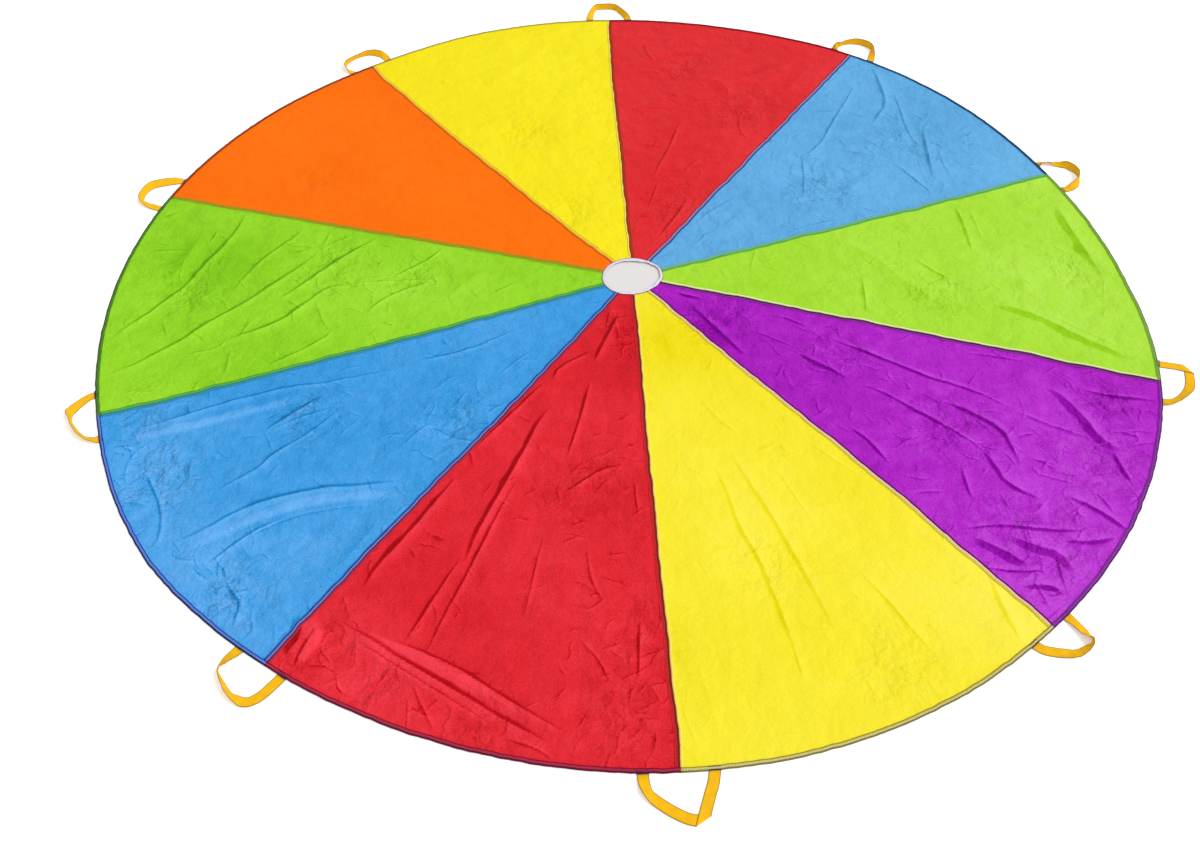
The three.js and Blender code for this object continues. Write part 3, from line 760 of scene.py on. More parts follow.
def all_creases():
    found = [(BENDS[bend], rounded(points)) for bend, *points in CREASES]
    random = np.random.default_rng(7)
    for x, y, radius in CRUSHED:
        run = random.uniform(0, 180)
        for _ in range(radius // NICK_SPACING):
            away, turn = radius * math.sqrt(random.random()), random.uniform(0, 2 * math.pi)
            spot = x + away * math.cos(turn), y + away * math.sin(turn)
            found.append((BENDS["nick"], rounded(nick(random, *spot, random.normal(run, NICK_TURN)))))
    for _ in range(SPARE_NICKS):
        away, turn = CANOPY_RADIUS * math.sqrt(random.uniform(0.02, 0.94)), random.uniform(0, 2 * math.pi)
        spot = away * math.cos(turn), away * math.sin(turn)
        found.append((BENDS["nick"], rounded(nick(random, *spot, random.uniform(0, 180)))))
    return found


ALL_CREASES = all_creases()


def creases_near(x, y):
    """Each crease, with the indices of the points that it reaches and where they lie beside it."""
    for bend, points in ALL_CREASES:
        low, high = points.min(0) - bend[2], points.max(0) + bend[2]
        near = np.flatnonzero((x > low[0]) & (x < high[0]) & (y > low[1]) & (y < high[1]))
        if len(near):
            yield bend, near, *near_polyline(x[near], y[near], points)


def creases(x, y):
    """Height that the creases add, and their tone: above 0 where they catch light, below in their shade."""
    total, tone = np.zeros_like(x), np.zeros_like(x)
    for (height, steep, gentle, shade, firm), near, away, share, side in creases_near(x, y):
        rough = lattice_noise(x[near] / ROUGH_LENGTH, y[near] / ROUGH_LENGTH, 5)
        taper = np.clip(1 - np.abs(2 * share - 1) ** 3, 0, 1) ** 0.8
        wide = 1 + ROUGH_WIDTH * rough
        q = np.clip(away / np.where(side > 0, steep * wide * (0.3 + 0.7 * taper), gentle), 0, 1)
        total[near] += height * (1 + ROUGH_HEIGHT * rough) * taper * (1 - q) ** 2 * (1 + 0.6 * q)
        full = (1 - smooth((q - firm) / (1 - firm))) * taper
        over = np.clip(0.5 + side * away / CREST_WIDTH, 0, 1)
        dark = shade * full * over * wide
        light = CREST_LIGHT * shade * (1 - smooth(q / 0.6)) * taper * (1 - over)
        tone[near] -= shade * full if shade < 0 else np.where(side > 0, dark, -light)
    return total * gore_values(x, y, RELIEF), np.clip(tone * gore_values(x, y, CREASE_TONES), -2, 1)


def rim_gap(x, y):
    """Distance in from the rim, and the place that a point lies at."""
    place = place_of_angle(np.arctan2(y, x))
    return rim_radius(place) - np.hypot(x, y), place


def cloth_height(x, y):
    """Height of the cloth's middle over the floor."""
    gap, place = rim_gap(x, y)
    vent_gap = np.hypot(x - VENT_CENTRE[0], y - VENT_CENTRE[1]) - CLOTH_EDGE_RADIUS
    shelf = RIM_LIFT * (1 - smooth((gap - RIM_SHELF) / RIM_SLOPE))
    gore = np.floor(place).astype(int) % GORE_COUNT
    u = place - np.floor(place)
    crumple = np.array(CRUMPLE)
    beside = np.where(u < 0.5, crumple[gore - 1], crumple[(gore + 1) % GORE_COUNT])
    amount = crumple[gore] + (beside - crumple[gore]) * np.clip(np.abs(2 * u - 1) * 3 - 2, 0, 1) * 0.5
    waves = crinkle(x, y) * amount + creases(x, y)[0]
    calm = smooth((gap + 10) / RIM_CALM) * smooth(vent_gap / VENT_CALM)
    edge = smooth(gap / HEM_CALM)
    return CLOTH_LIFT + shelf + np.maximum(waves * (0.25 + 0.75 * calm * edge), LOWEST_WAVE)


# Meshes. Points are millimetres in the canopy's frame.
fold_joint = joints["middle_fold"]
SHIFT = np.array([*(np.array(fold_joint["pos_m"][:2]) * 1000 - VENT_CENTRE), 0.0])


def new_object(name, points, faces, uv, materials, material_index=None):
    """A smooth-shaded object in the model's frame. uv holds millimetres for each vertex."""
    mesh = bpy.data.meshes.new(name)
    mesh.from_pydata(((np.asarray(points, float) + SHIFT) / 1000).tolist(), [], faces)
    mesh.polygons.foreach_set("use_smooth", np.ones(len(mesh.polygons), bool))
    layer = mesh.uv_layers.new(name="Cloth")
    loops = np.zeros(len(mesh.loops), int)
    mesh.loops.foreach_get("vertex_index", loops)
    layer.data.foreach_set("uv", (np.asarray(uv, float)[loops] / 1000).astype(np.float32).ravel())
    for material in materials:
        mesh.materials.append(material)
    if material_index is not None:
        mesh.polygons.foreach_set("material_index", np.asarray(material_index, np.int32))
    mesh.update()
    obj = bpy.data.objects.new(name, mesh)
    bpy.context.scene.collection.objects.link(obj)
    return obj


class Parts:
    """Gathers the parts of one mesh, each with its own material index."""

    def __init__(self):
        self.points, self.faces, self.uv, self.index = [], [], [], []

    def add(self, points, faces, uv, index=0):
        start = sum(len(p) for p in self.points)
        self.points.append(np.asarray(points, float))
        self.uv.append(np.asarray(uv, float))
        self.faces += [[start + i for i in face] for face in faces]
        self.index += [index] * len(faces)

    def object(self, name, materials):
        points, uv = np.concatenate(self.points), np.concatenate(self.uv)
        return new_object(name, points, self.faces, uv, materials, self.index)


def tube(shape, closed=False):
    """Faces of a tube, with caps where it isn't closed. The shape is how many rings, and points in a ring."""
    count, around = shape
    faces = []
    for i in range(count if closed else count - 1):
        a, b = i * around, (i + 1) % count * around
        faces += [[a + j, a + (j + 1) % around, b + (j + 1) % around, b + j] for j in range(around)]
    if not closed:
        faces.append(list(range(around))[::-1])
        faces.append([(count - 1) * around + j for j in range(around)])
    return faces


def path_frames(path):
    """Unit tangents along a path, and the sideways directions to their left, level with the floor."""
    ahead = np.gradient(path, axis=0)
    ahead /= np.linalg.norm(ahead, axis=1, keepdims=True)
    left = np.stack([-ahead[:, 1], ahead[:, 0], np.zeros(len(path))], 1)
    return ahead, left / np.linalg.norm(left, axis=1, keepdims=True)


def distances(path):
    """Distance along a path to each of its points."""
    return np.concatenate([[0], np.cumsum(np.linalg.norm(np.diff(path, axis=0), axis=1))])


def sweep(parts, path, profile, index=0):
    """A profile of (left, up) points swept along a path."""
    _, left = path_frames(path)
    run = distances(path)
    profile = np.array(profile, float)
    points = path[:, None] + left[:, None] * profile[None, :, :1]
    points[..., 2] += profile[None, :, 1]
    uv = np.stack(np.broadcast_arrays(run[:, None], profile[None, :, 0]), -1)
    faces = [face[::-1] for face in tube(points.shape[:2])]
    parts.add(points.reshape(-1, 3), faces, uv.reshape(-1, 2), index)


def on_cloth(xy, lift=0.0):
    """Points on the middle of the cloth, or lifted off it."""
    return np.column_stack([xy, cloth_height(xy[:, 0], xy[:, 1]) + lift])


def resample(path, pitch):
    """Points along a path at a pitch, starting half a pitch in."""
    run = distances(path)
    count = int(run[-1] / pitch)
    at = (np.arange(count) + 0.5) * run[-1] / count
    return np.stack([np.interp(at, run, path[:, axis]) for axis in range(path.shape[1])], 1)


def strand(parts, points, width, index):
    """A sewn thread through points that lie on the cloth: thick in the middle and drawn in at its ends."""
    points = np.asarray(points, float)
    _, left = path_frames(points)
    full = np.sin(np.linspace(0.18, 0.82, len(points)) * math.pi)[:, None, None]
    rings = points[:, None] + left[:, None] * STRAND[None, :, :1] * width * full
    rings[..., 2] += STRAND[None, :, 1] * width * full[..., 0] - STRAND_SINK
    uv = rings[..., :2].reshape(-1, 2)
    parts.add(rings.reshape(-1, 3), [f[::-1] for f in tube(rings.shape[:2])], uv, index)


def stitch_row(parts, path, width, index=0, pitch=STITCH_PITCH, length=STITCH_LENGTH):
    """Lockstitches one after another along a path on the cloth."""
    middles = resample(path, pitch)
    ahead, _ = path_frames(middles)
    for middle, way in zip(middles, ahead):
        ends = np.array([middle - way * length / 2, middle, middle + way * length / 2])
        strand(parts, ends, width, index)


# Materials
def linear(colour):
    """A colour as it looks, as a material takes it."""
    def one(value):
        v = value / 255
        return v / 12.92 if v <= 0.04045 else ((v + 0.055) / 1.055) ** 2.4

    return (*(one(value) for value in colour), 1.0)


def mixed(a, b, share):
    return tuple(x + (y - x) * share for x, y in zip(a, b))


class Nodes:
    """Short ways to build a material's nodes."""

    def __init__(self, name):
        self.material = bpy.data.materials.new(name)
        self.material.use_nodes = True
        self.tree = self.material.node_tree
        self.shader = self.tree.nodes["Principled BSDF"]

    def join(self, node, inputs):
        """Gives a node's inputs their values, each a number, a colour or another node's output."""
        for key, value in inputs.items():
            if isinstance(value, bpy.types.NodeSocket):
                self.tree.links.new(value, node.inputs[key])
            else:
                node.inputs[key].default_value = value

    def node(self, kind, inputs=None, **settings):
        node = self.tree.nodes.new(kind)
        for key, value in settings.items():
            setattr(node, key, value)
        self.join(node, inputs or {})
        return node

    def uv(self):
        return self.node("ShaderNodeUVMap", uv_map="Cloth").outputs[0]

    def noise(self, scale, detail=2.0, output=0):
        inputs = {"Vector": self.uv(), "Scale": scale, "Detail": detail}
        return self.node("ShaderNodeTexNoise", inputs, noise_dimensions="2D").outputs[output]

    def cells(self, vector, scale, output="Distance", **settings):
        inputs = {"Vector": vector, "Scale": scale}
        return self.node("ShaderNodeTexVoronoi", inputs, voronoi_dimensions="2D", **settings).outputs[output]

    def bands(self, pitch, direction):
        """Height of threads that lie side by side, a pitch apart in metres."""
        inputs = {"Vector": self.uv(), "Scale": math.pi / 10 / pitch}
        return self.node("ShaderNodeTexWave", inputs, bands_direction=direction).outputs["Fac"]

    def attribute(self, name):
        return self.node("ShaderNodeAttribute", attribute_name=name).outputs["Fac"]

    def vector(self, operation, a, b):
        return self.node("ShaderNodeVectorMath", {0: a, 1: b}, operation=operation).outputs[0]

    def spread(self, value, low, high, from_low=0.3, from_high=0.7):
        inputs = {"Value": value, "From Min": from_low, "From Max": from_high, "To Min": low, "To Max": high}
        return self.node("ShaderNodeMapRange", inputs).outputs[0]

    def mix(self, share, a, b):
        return self.node("ShaderNodeMix", {0: share, 6: a, 7: b}, data_type="RGBA").outputs[2]

    def math(self, operation, a, b=0.0):
        return self.node("ShaderNodeMath", {0: a, 1: b}, operation=operation).outputs[0]

    def bump(self, height, distance, strength=1.0, normal=None):
        inputs = {"Height": height, "Distance": distance, "Strength": strength}
        if normal is not None:
            inputs["Normal"] = normal
        return self.node("ShaderNodeBump", inputs).outputs[0]

    def finish(self, colour, roughness, normal, specular):
        self.shader.inputs["Specular IOR Level"].default_value = specular
        self.join(self.shader, {"Base Color": colour, "Roughness": roughness, "Normal": normal})
        return self.material


def cloth_material(name, colour, shade, shine, crumple=1.0):
    """Nylon taffeta: a close plain weave with a soft sheen, crushed into small facets with sharp edges.

    The attribute "tone" says where folds shade it or catch the light, and "crushed" where it is crushed.
    """
    nodes = Nodes(name)
    tone = nodes.attribute("tone")
    # How crushed the cloth is: it deepens the facets' bumps, the painted shade on their edges and the mottle
    crushing = nodes.math("MULTIPLY", nodes.attribute("crushed"), crumple)
    pushed = nodes.vector("MULTIPLY", nodes.noise(9.0, 4.0, "Color"), (0.035, 0.035, 0))
    warped = nodes.vector("ADD", nodes.uv(), pushed)
    normal = None
    for scale, slope, low, high in FACETS:
        facets = nodes.cells(warped, scale)
        normal = nodes.bump(nodes.math("MULTIPLY", facets, crushing), slope / scale, 1.0, normal)
        # The facets' edges are darkened: painted shade in the small creases between them, deeper where more
        # crushed
        edge = nodes.cells(warped, scale, feature="DISTANCE_TO_EDGE")
        line = nodes.spread(edge, 1.0, 0.0, 0.0, FACET_EDGE * scale)
        broken = nodes.math("MULTIPLY", line, nodes.spread(nodes.noise(scale * 1.4), 0.0, 1.0, low, high))
        depth = nodes.math("MULTIPLY", crushing, FACET_EDGE_SHADE)
        tone = nodes.math("SUBTRACT", tone, nodes.math("MULTIPLY", broken, depth))
    grain = nodes.noise(GRAIN, 3.0)
    patches = nodes.noise(PATCHES, 4.0)
    mottle = nodes.noise(MOTTLE, 3.0)
    tone = nodes.math("ADD", tone, nodes.spread(patches, -PATCH_TONE, PATCH_TONE))
    mottled = nodes.math("MULTIPLY", nodes.spread(mottle, -MOTTLE_TONE, MOTTLE_TONE), crushing)
    tone = nodes.math("ADD", tone, mottled)
    tone = nodes.math("ADD", tone, nodes.spread(grain, -GRAIN_TONE, GRAIN_TONE))
    # The tone mixes the cloth towards its shade and shine colours: painted shade and painted light from the
    # creases and the sheen spots, and random patches, mottle and grain
    deepest = linear(mixed(shade, BLACK, DEEPEST))
    deep = nodes.mix(nodes.spread(tone, 1.0, 0.0, -2.0, -1.0), linear(shade), deepest)
    dark = nodes.mix(nodes.spread(tone, 1.0, 0.0, -1.0, 0.0), linear(colour), deep)
    base = nodes.mix(nodes.spread(tone, 0.0, 1.0, 0.0, 1.0), dark, linear(shine))
    normal = nodes.bump(grain, 0.0004, 0.5, normal)
    weave = nodes.math("MULTIPLY", nodes.bands(THREAD_PITCH, "X"), nodes.bands(THREAD_PITCH, "Y"))
    normal = nodes.bump(weave, THREAD_PITCH / 10, 0.5, normal)
    return nodes.finish(base, nodes.spread(patches, *CLOTH_ROUGHNESS), normal, CLOTH_SPECULAR)


def thread_material(name, colour):
    """Twisted sewing thread."""
    nodes = Nodes(name)
    twist = nodes.noise(TWIST)
    base = nodes.mix(twist, linear(mixed(colour, BLACK, 0.15)), linear(mixed(colour, WHITE, 0.1)))
    return nodes.finish(base, THREAD_ROUGHNESS, nodes.bump(twist, 0.0002, 0.6), THREAD_SPECULAR)


def webbing_material(name):
    """Flat woven webbing: ribs along it, picks across it, and darker selvedges."""
    nodes = Nodes(name)
    across = nodes.node("ShaderNodeSeparateXYZ", {0: nodes.uv()}).outputs["Y"]
    from_middle = nodes.math("ABSOLUTE", across)
    selvedge = nodes.spread(from_middle, 0.0, 1.0, *SELVEDGE)
    wear = nodes.spread(nodes.noise(60.0, 3.0), 0.0, WEAR)
    share = nodes.math("MAXIMUM", selvedge, wear)
    base = nodes.mix(share, linear(WEBBING_COLOUR), linear(WEBBING_EDGE_COLOUR))
    picks = nodes.math("MULTIPLY", nodes.bands(PICK_PITCH, "X"), 0.6)
    normal = nodes.bump(nodes.math("ADD", nodes.bands(RIB_PITCH, "Y"), picks), 0.00025, 0.7)
    return nodes.finish(base, WEBBING_ROUGHNESS, normal, WEBBING_SPECULAR)


cloths = [
    cloth_material(f"taffeta_{k + 1}_{name}", GORE_COLOURS[k], GORE_SHADES[k], GORE_SHINES[k], CRUMPLE[k])
    for k, name in enumerate(GORES)
]
thread = thread_material("sewing_thread", THREAD_COLOUR)
webbing = webbing_material("webbing")


# Pieces
def half_of(k):
    """The body that carries the gore, seam or handle with this number."""
    return "near_half" if k in NEAR_HANDLES else "far_half"


def blend_at_fold(obj):
    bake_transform(obj)


def carry(obj, gore):
    if gore in FOLDED_GORES:
        blend_at_fold(obj)
    else:
        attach(obj, half_of(gore))


def gore_name(gore):
    return f"gore_{gore}_{GORES[gore - 1]}"


def cell_size(x, y):
    """How long a mesh edge may be at a point: short on creases, and long on smooth cloth."""
    size = np.full(x.shape, float(COARSE_CELL))
    for (_, steep, gentle, *_), near, away, _, side in creases_near(x, y):
        middle = away < np.where(side > 0, steep, gentle) * 0.7
        size[near[middle]] = np.minimum(size[near[middle]], MIDDLE_CELL)
        close = away < np.where(side > 0, steep * 1.1, CREST_REACH - 1)
        size[near[close]] = np.minimum(size[near[close]], max(FINE_CELL, steep / 6))
        crest = away < CREST_REACH
        size[near[crest]] = np.minimum(size[near[crest]], FINE_CELL)
    return size


def cloth_sheet(gore):
    """A gore's cloth as a flat mesh in plan, with small cells where it is creased: points and faces."""
    first = gore - 1
    rows = int(CANOPY_RADIUS / COARSE_CELL)
    columns = int(2 * math.pi * CANOPY_RADIUS / GORE_COUNT / COARSE_CELL)
    shares, across_gore = np.linspace(0, SHEET_SHARE, rows + 1), np.linspace(0, 1, columns + 1)
    share, u = np.meshgrid(shares, across_gore, indexing="ij")
    plan = canopy_point(first + u, share).reshape(-1, 2)
    bm = bmesh.new()
    verts = [bm.verts.new((x, y, 0)) for x, y in plan.tolist()]
    step = columns + 1
    for r in range(rows):
        for c in range(columns):
            a = r * step + c
            bm.faces.new([verts[i] for i in (a + 1, a, a + step, a + step + 1)])
    bmesh.ops.triangulate(bm, faces=bm.faces[:])
    for _ in range(2):
        bm.edges.ensure_lookup_table()
        ends = np.array([(*e.verts[0].co.xy, *e.verts[1].co.xy) for e in bm.edges])
        middle = (ends[:, :2] + ends[:, 2:]) / 2
        length = np.linalg.norm(ends[:, :2] - ends[:, 2:], axis=1)
        long = length > cell_size(middle[:, 0], middle[:, 1]) * LONG_EDGE
        chosen = [bm.edges[int(i)] for i in np.flatnonzero(long)]
        bmesh.ops.subdivide_edges(bm, edges=chosen, cuts=1, use_grid_fill=True)
        bmesh.ops.triangulate(bm, faces=[f for f in bm.faces if len(f.verts) > 3])
    bm.verts.index_update()
    points = np.array([v.co.xy for v in bm.verts])
    faces = [[v.index for v in f.verts] for f in bm.faces]
    bm.free()
    return points, faces


for gore in range(1, GORE_COUNT + 1):
    plan, faces = cloth_sheet(gore)
    sheet = new_object(gore_name(gore) + "_cloth", on_cloth(plan), faces, plan, [cloths[gore - 1]])
    x, y = plan[:, 0], plan[:, 1]
    # The tone attribute carries the creases' painted shade and light, and the painted sheen spots
    for attribute, values in (("tone", creases(x, y)[1] + glow(x, y)), ("crushed", crushed(x, y))):
        layer = sheet.data.attributes.new(attribute, "FLOAT", "POINT")
        layer.data.foreach_set("value", values.astype(np.float32))
    halves = ("_far", "_near") if gore in FOLDED_GORES else ("",)
    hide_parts(*(gore_name(gore) + half for half in halves))
    carry(sheet, gore)


# Rim: the folded hem, its overlocked thread and its row of stitches
def rim_path(gore, inset):
    """A gore's rim in plan, or a line inside it, puckered by its stitches."""
    count = int(2 * math.pi * CANOPY_RADIUS / GORE_COUNT / HEM_PITCH)
    place = gore - 1 + np.linspace(0, 1, count + 1)
    pucker = (PUCKER[0] + PUCKER[1] * line_noise(place * 3, 38)) * line_noise(place * PUCKERS, 32)
    return polar(rim_angle(place), rim_radius(place) - inset + pucker)


def line_profile(start, end):
    """The section of a raised line of thread or folded cloth, from one distance to another."""
    return [
        (start, -LINE_DROP), (start + LINE_EDGE, LINE_LIFT - LINE_DROP), (start + LINE_ROUND, LINE_LIFT),
        (end - LINE_ROUND, LINE_LIFT), (end - LINE_EDGE, LINE_LIFT - LINE_DROP), (end, -LINE_DROP),
    ]


def loops_across(parts, path, reach, width, pitch, index):
    """Short threads that lie across a path, leaning a little, as overlocking does."""
    row = resample(path, pitch)
    ahead, left = path_frames(row)
    for point, way, beside in zip(row, ahead, left):
        lean = way * LOOP_LEAN + beside * reach
        strand(parts, [point - lean, point, point + lean], width, index)


for gore in range(1, GORE_COUNT + 1):
    hem, sewing = Parts(), Parts()
    edge = on_cloth(rim_path(gore, 0))
    sweep(hem, edge, HEM_PROFILE)
    for index, (start, end) in enumerate(HEM_LINES):
        sweep(sewing, edge, line_profile(start, end), index)
    stitches = on_cloth(rim_path(gore, -sum(HEM_LINES[2]) / 2), LINE_LIFT)
    stitch_row(sewing, stitches, ROW_WIDTH, 2)
    overlocking = on_cloth(rim_path(gore, -sum(HEM_LINES[1]) / 2), LINE_LIFT)
    loops_across(sewing, overlocking, OVERLOCK_REACH, LOOP_WIDTH, LOOP_PITCH, 1)
    lines = [thread_material(f"rim_{gore}_{name}", colour)
             for name, colour in zip(("cord", "overlocking", "stitches"), HEM_COLOURS[gore - 1])]
    for parts, name, materials in (
        (hem, f"hem_{gore}", [cloths[gore - 1]]),
        (sewing, f"hem_{gore}_sewing", lines),
    ):
        piece = parts.object(name, materials)
        carry(piece, gore)


# Seams: the felled band, and the lines of thread and of folded cloth along it, with strips of painted shade
# beside them
def across(profile, side):
    """The profile on its side of a line, wound so that its faces look outwards."""
    turned_over = [(-side * x, up) for x, up in profile]
    return turned_over if side < 0 else turned_over[::-1]


for seam in range(GORE_COUNT):
    side = SEAM_SIDES[seam]
    gore = (seam if side > 0 else seam - 1) % GORE_COUNT + 1
    share = np.linspace(0.002, 1 - HEM_WIDTH / CANOPY_RADIUS, SEAM_STEPS)
    line = canopy_point(np.full(share.shape, float(seam)), share)
    _, left = path_frames(np.column_stack([line, line[:, 0] * 0]))
    left = left[:, :2]
    band, sewing = Parts(), Parts()
    middle = on_cloth(line)
    sweep(band, middle, across(BAND_PROFILE, side))
    lines = []
    # Some lines are painted shade: the seam's groove over the thread, and soft strips beside the seam
    for index, (start, end, colour) in enumerate(SEAM_LINES[seam]):
        lines.append(thread_material(f"seam_{seam + 1}_line_{index + 1}", colour))
        path = on_cloth(line - side * left * (start + end) / 2)
        path[:, 2] = np.maximum(path[:, 2], middle[:, 2])
        width = end - start
        if width < NARROW_LINE:
            path[:, 2] += LINE_LIFT - LINE_DROP
            stitch_row(sewing, path, width, index)
        else:
            sweep(sewing, path, across(line_profile(-width / 2, width / 2), side), index)
            path[:, 2] += LINE_LIFT
            loops_across(sewing, path, width / 2 - 1, LOOP_WIDTH, SEAM_LOOP_PITCH, index)
    for parts, name, materials in (
        (band, f"seam_{seam + 1}_band", [cloths[gore - 1]]),
        (sewing, f"seam_{seam + 1}_sewing", lines),
    ):
        piece = parts.object(name, materials)
        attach(piece, half_of(seam + 1))
        if parts is band:
            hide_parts(f"seam_{seam + 1}")


# Vent binding: a pale tape round the cloth's edge whose inner lip stands up, and the stitches beside it
turns = np.linspace(0, 2 * math.pi, VENT_STEPS, endpoint=False)
outer_edge = polar(turns, round_vent(turns, BOUND_EDGE)) + VENT_CENTRE
inner_edge = polar(turns, round_vent(turns, OPENING)) + VENT_CENTRE
ripple = 1 + TAPE_RIPPLE * line_noise(turns * 4, 51)
tape = np.stack([
    np.column_stack([outer_edge + (inner_edge - outer_edge) * inward, CLOTH_LIFT + up * ripple])
    for inward, up in TAPE_PROFILE
], 1)
over_tape = [up + TAPE_WIDTH * inward for inward, up in TAPE_PROFILE]
tape_uv = np.stack(np.meshgrid(turns * CLOTH_EDGE_RADIUS, over_tape, indexing="ij"), -1)
binding, binding_sewing = Parts(), Parts()
binding.add(tape.reshape(-1, 3), tube(tape.shape[:2], True), tape_uv.reshape(-1, 2))
stitched = np.column_stack([outer_edge, np.full(len(turns), CLOTH_LIFT + TAPE_STITCH_LIFT)])
stitch_row(binding_sewing, np.vstack([stitched, stitched[:1]]), **TAPE_STITCH)
tape_cloth = cloth_material("binding_tape", BINDING_COLOUR, BINDING_SHADE, BINDING_COLOUR)
for parts, name, material in (
    (binding, "vent_binding_tape", tape_cloth),
    (binding_sewing, "vent_binding_sewing", thread),
):
    piece = parts.object(name, [material])
    blend_at_fold(piece)
    if parts is binding:
        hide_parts("vent_binding_far", "vent_binding_near")


# Handles
def spline(points, count):
    """Centripetal curve through points, as the solids' straps follow, with count + 1 samples."""
    points = np.array(points, float)
    padded = np.vstack([2 * points[0] - points[1], points, 2 * points[-1] - points[-2]])
    samples = []
    for s in np.linspace(0, len(points) - 1, count + 1):
        i = min(int(s), len(points) - 2)
        t = s - i
        p0, p1, p2, p3 = padded[i:i + 4]
        d0, d1, d2 = np.maximum(np.linalg.norm(np.diff(padded[i:i + 4], axis=0), axis=1) ** 0.5, 1e-4)
        m1 = ((p1 - p0) / d0 - (p2 - p0) / (d0 + d1) + (p2 - p1) / d1) * d1
        m2 = ((p2 - p1) / d1 - (p3 - p1) / (d1 + d2) + (p3 - p2) / d2) * d1
        cube = 2 * (p1 - p2) + m1 + m2
        samples.append(p1 + m1 * t + (3 * (p2 - p1) - 2 * m1 - m2) * t ** 2 + cube * t ** 3)
    return np.array(samples)


def strap_profile():
    """Webbing in section: ribs along both faces and rounded selvedges, as shares of half its size."""
    steps = 2 * WEBBING_RIBS + 1
    lift = np.where(np.arange(steps) % 2, 1, WEBBING_GROOVE)
    lift[[0, -1]] = WEBBING_SELVEDGE
    upper = np.column_stack([np.linspace(-1, 1, steps), lift])
    return np.vstack([upper, upper[::-1] * (1, -1)])


def strap_rows(lay):
    """Middle, sideways direction and facing direction along webbing that lies as told."""
    steps = LAY_ROWS * len(lay)
    path = spline([(along, out) for along, out, _ in lay], steps)
    t = np.linspace(0, len(lay) - 1, steps + 1)
    index = np.minimum(t.astype(int), len(lay) - 2)
    rolls = np.array([roll for _, _, roll in lay], float)
    roll = np.radians(rolls[index] + (rolls[index + 1] - rolls[index]) * smooth(t - index))
    ahead = np.gradient(path, axis=0)
    ahead /= np.linalg.norm(ahead, axis=1, keepdims=True)
    level = np.column_stack([-ahead[:, 1], ahead[:, 0], np.zeros(len(path))])
    side = level * np.cos(roll)[:, None]
    side[:, 2] = np.sin(roll)
    face = np.cross(np.column_stack([ahead, np.zeros(len(path))]), side)
    rise = WEBBING_WIDTH / 2 * np.abs(np.sin(roll)) + WEBBING_THICK / 2 * np.abs(np.cos(roll)) + FLOOR_GAP
    return np.stack([np.column_stack([path, rise]), side, face], 1)


def sewn_rows(row, order):
    """The end that is sewn under the rim, which goes on straight from a strap's first or last row."""
    rows = np.repeat(row[None], SEWN_ROWS, 0)
    rows[:, 0, 1] = np.linspace(-SEWN_LENGTH, -SEWN_EDGE, SEWN_ROWS)[::order]
    return rows


def folded_rows(lay, corner):
    """A strap that is folded over flat at one point of its lay, its first leg on top."""
    place = np.array(lay[corner][:2], float)
    upper, lower = strap_rows(lay[:corner + 1]), strap_rows([(*place, 180), *lay[corner + 1:]])
    upper_away, lower_away = (np.linalg.norm(leg[:, 0, :2] - place, axis=1) for leg in (upper, lower))
    upper[:, 0, 2] += FOLD_RISE * (1 - smooth((upper_away - FOLD_SLOPE[0]) / FOLD_SLOPE[1]))
    into, onward = place - lay[corner - 1][:2], lay[corner + 1][:2] - place
    turn = into / np.linalg.norm(into) - onward / np.linalg.norm(onward)
    outward = np.array([*turn, 0]) / np.linalg.norm(turn)
    crease = np.array([-outward[1], outward[0], 0])
    crease /= crease @ upper[-1, 1]
    up = np.array([0, 0, 1.0])
    spot = np.array([*place, WEBBING_THICK / 2 + FLOOR_GAP])
    bend = np.array([
        (spot + up * FOLD_RISE, crease, up),
        (spot + up * FOLD_RISE / 2 + outward * FOLD_BULGE, crease, outward),
        (spot, crease, -up),
    ])
    return np.vstack([upper[upper_away > FOLD_REACH], bend, lower[lower_away > FOLD_REACH]])


def turned_ends(lay):
    """Sideways and facing directions of a strap's ends, which lie flat and square to the rim."""
    over = math.cos(math.radians(lay[-1][2]))
    return [((-1, 0, 0), (0, 0, 1)), ((over, 0, 0), (0, 0, over))]


def strap(handle):
    """A handle's webbing from one sewn end to the other, in the hinge's own directions: along, out and up."""
    lay = HANDLE_LAYS[handle - 1]
    corner = FOLDED_CORNERS.get(handle)
    rows = folded_rows(lay, corner) if corner else strap_rows(lay)
    rows[0, 1:], rows[-1, 1:] = turned_ends(lay)
    rows = np.vstack([sewn_rows(rows[0], 1), rows, sewn_rows(rows[-1], -1)])
    middle, side, face = rows[:, 0], rows[:, 1], rows[:, 2]
    half = WEBBING_WIDTH / 2
    profile = strap_profile()
    rings = (middle[:, None] + side[:, None] * profile[None, :, :1] * half
             + face[:, None] * profile[None, :, 1:] * WEBBING_THICK / 2)
    uv = np.stack(np.broadcast_arrays(distances(middle)[:, None], profile[None, :, 0] * half), -1)
    return rings, uv


def hinge_frame(handle):
    """The point on the floor under a handle's hinge, and the directions along the rim and out from it."""
    joint = joints[f"handle_{handle}_hinge"]
    along = np.array(joint["axis"])
    return np.array([*joint["pos_m"][:2], 0.0]) * 1000 - SHIFT, along, np.array([-along[1], along[0], 0.0])


for handle in range(1, GORE_COUNT + 1):
    origin, along, out = hinge_frame(handle)
    rings, uv = strap(handle)
    points = origin + rings[..., :1] * along + rings[..., 1:2] * out + rings[..., 2:] * np.array([0, 0, 1.0])
    parts = Parts()
    parts.add(points.reshape(-1, 3), tube(points.shape[:2]), uv.reshape(-1, 2))
    piece = parts.object(f"handle_{handle}_webbing", [webbing])
    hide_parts(f"handle_{handle}", f"handle_{handle}_sewn_end_a", f"handle_{handle}_sewn_end_b")
    hinge = Vector(joints[f"handle_{handle}_hinge"]["pos_m"])
    start, end = hinge - Vector(out) * HINGE_BLEND[0] / 1000, hinge + Vector(out) * HINGE_BLEND[1] / 1000
    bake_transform(piece)

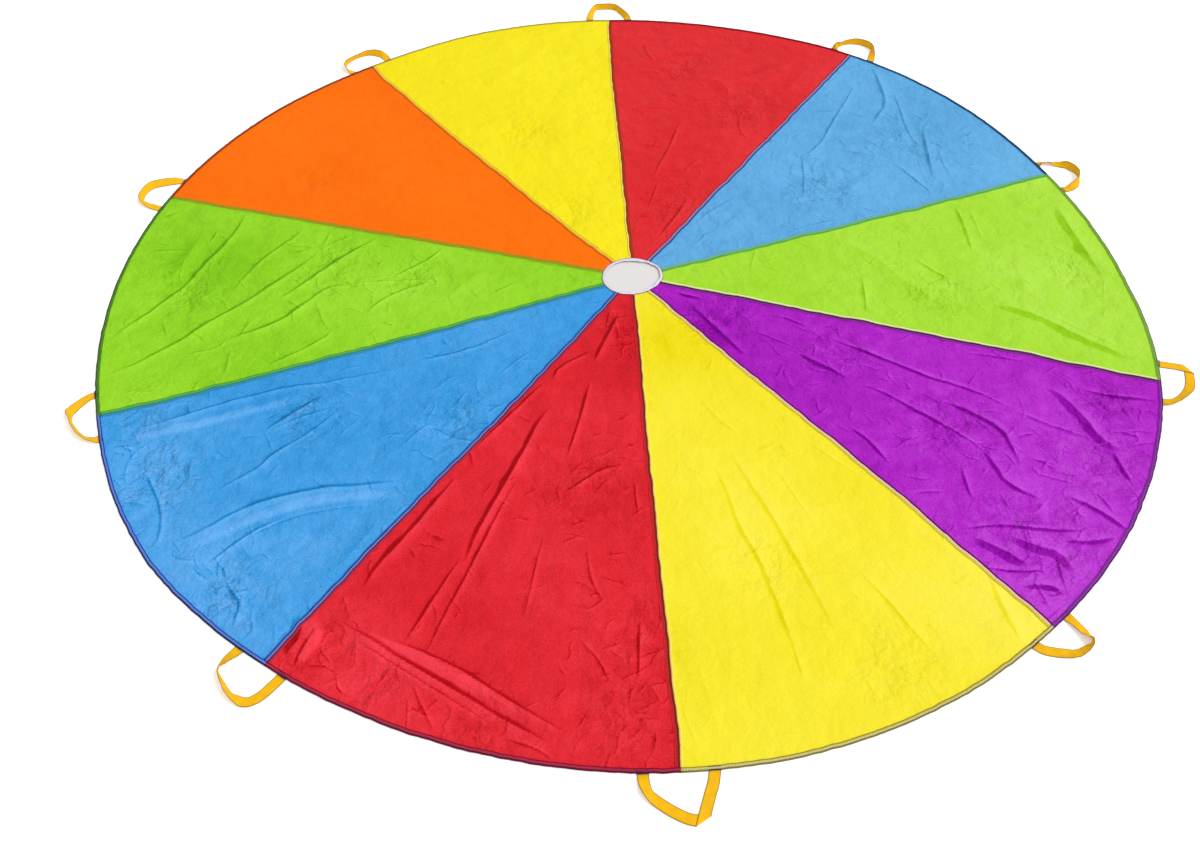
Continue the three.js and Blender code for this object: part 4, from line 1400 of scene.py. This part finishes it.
# Bar tacks: dense short rows of thread that hold each webbing end through the rim
tack_reach = WEBBING_WIDTH / 2 + TACK_OVERHANG
reach = np.linspace(-tack_reach, tack_reach, 7)[:, None]
for handle in range(1, GORE_COUNT + 1):
    origin, along, out = hinge_frame(handle)
    tacks = Parts()
    for end in (HANDLE_LAYS[handle - 1][0][0], HANDLE_LAYS[handle - 1][-1][0]):
        for outward, width in TACK_ROWS:
            row = origin + along * (end + reach) + out * outward
            stitch_row(tacks, on_cloth(row[:, :2], TACK_LIFT), width, pitch=TACK_PITCH)
    piece = tacks.object(f"handle_{handle}_tacks", [thread])
    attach(piece, half_of(handle))


# Stage
def floor_material():
    """White floor, shaded by what stands on it, and pale grey where it is seen through the vent."""
    nodes = Nodes("studio_floor")
    place = nodes.node("ShaderNodeTexCoord").outputs["Object"]
    away = nodes.node("ShaderNodeVectorMath", {0: place}, operation="LENGTH").outputs["Value"]
    share = nodes.spread(away, 0.0, 1.0, *VENT_FLOOR_REACH)
    base = nodes.mix(share, linear(VENT_FLOOR), linear(FLOOR_WHITE))
    nodes.finish(base, FLOOR_ROUGHNESS, nodes.bump(nodes.noise(200.0), 0.0001, 0.1), 0.0)
    rays = nodes.node("ShaderNodeLightPath")
    seen = nodes.math("MULTIPLY", rays.outputs["Is Camera Ray"], share)
    glow_strength = nodes.math("MULTIPLY", seen, FLOOR_GLOW)
    nodes.join(nodes.shader, {"Emission Color": (1, 1, 1, 1), "Emission Strength": glow_strength})
    return nodes.material


floor_corners = np.array([(-1, -1, 0), (1, -1, 0), (1, 1, 0), (-1, 1, 0)]) * FLOOR_REACH + (0, 0, FLOOR_LEVEL)
floor_uv = [(0, 0), (1, 0), (1, 1), (0, 1)]
new_object("studio_floor", floor_corners - SHIFT, [[0, 1, 2, 3]], floor_uv, [floor_material()])

scene = bpy.context.scene
scene.view_settings.view_transform = "Standard"
scene.world = bpy.data.worlds.new("studio")
scene.world.use_nodes = True
sky = scene.world.node_tree.nodes["Background"]
sky.inputs["Color"].default_value = (1, 1, 1, 1)
sky.inputs["Strength"].default_value = SKY_STRENGTH

sun = bpy.data.objects.new("key_light", bpy.data.lights.new("key_light", "SUN"))
sun.data.energy = SUN_STRENGTH
sun.data.angle = SUN_SPREAD
sun.rotation_euler = SUN_TOWARDS.to_track_quat("Z", "Y").to_euler()
scene.collection.objects.link(sun)

camera = bpy.data.objects.new("camera", bpy.data.cameras.new("camera"))
camera.data.sensor_width = CAMERA_SENSOR
camera.data.lens = CAMERA_LENS
camera.data.clip_end = CAMERA_REACH
turn = (CAMERA_PLACE - CAMERA_TARGET).to_track_quat("Z", "Y").to_matrix().to_4x4()
camera.matrix_world = (
    Matrix.Translation((CAMERA_PLACE + Vector(SHIFT)) / 1000) @ turn @ Matrix.Rotation(CAMERA_ROLL, 4, "Z")
)
scene.collection.objects.link(camera)
scene.camera = camera
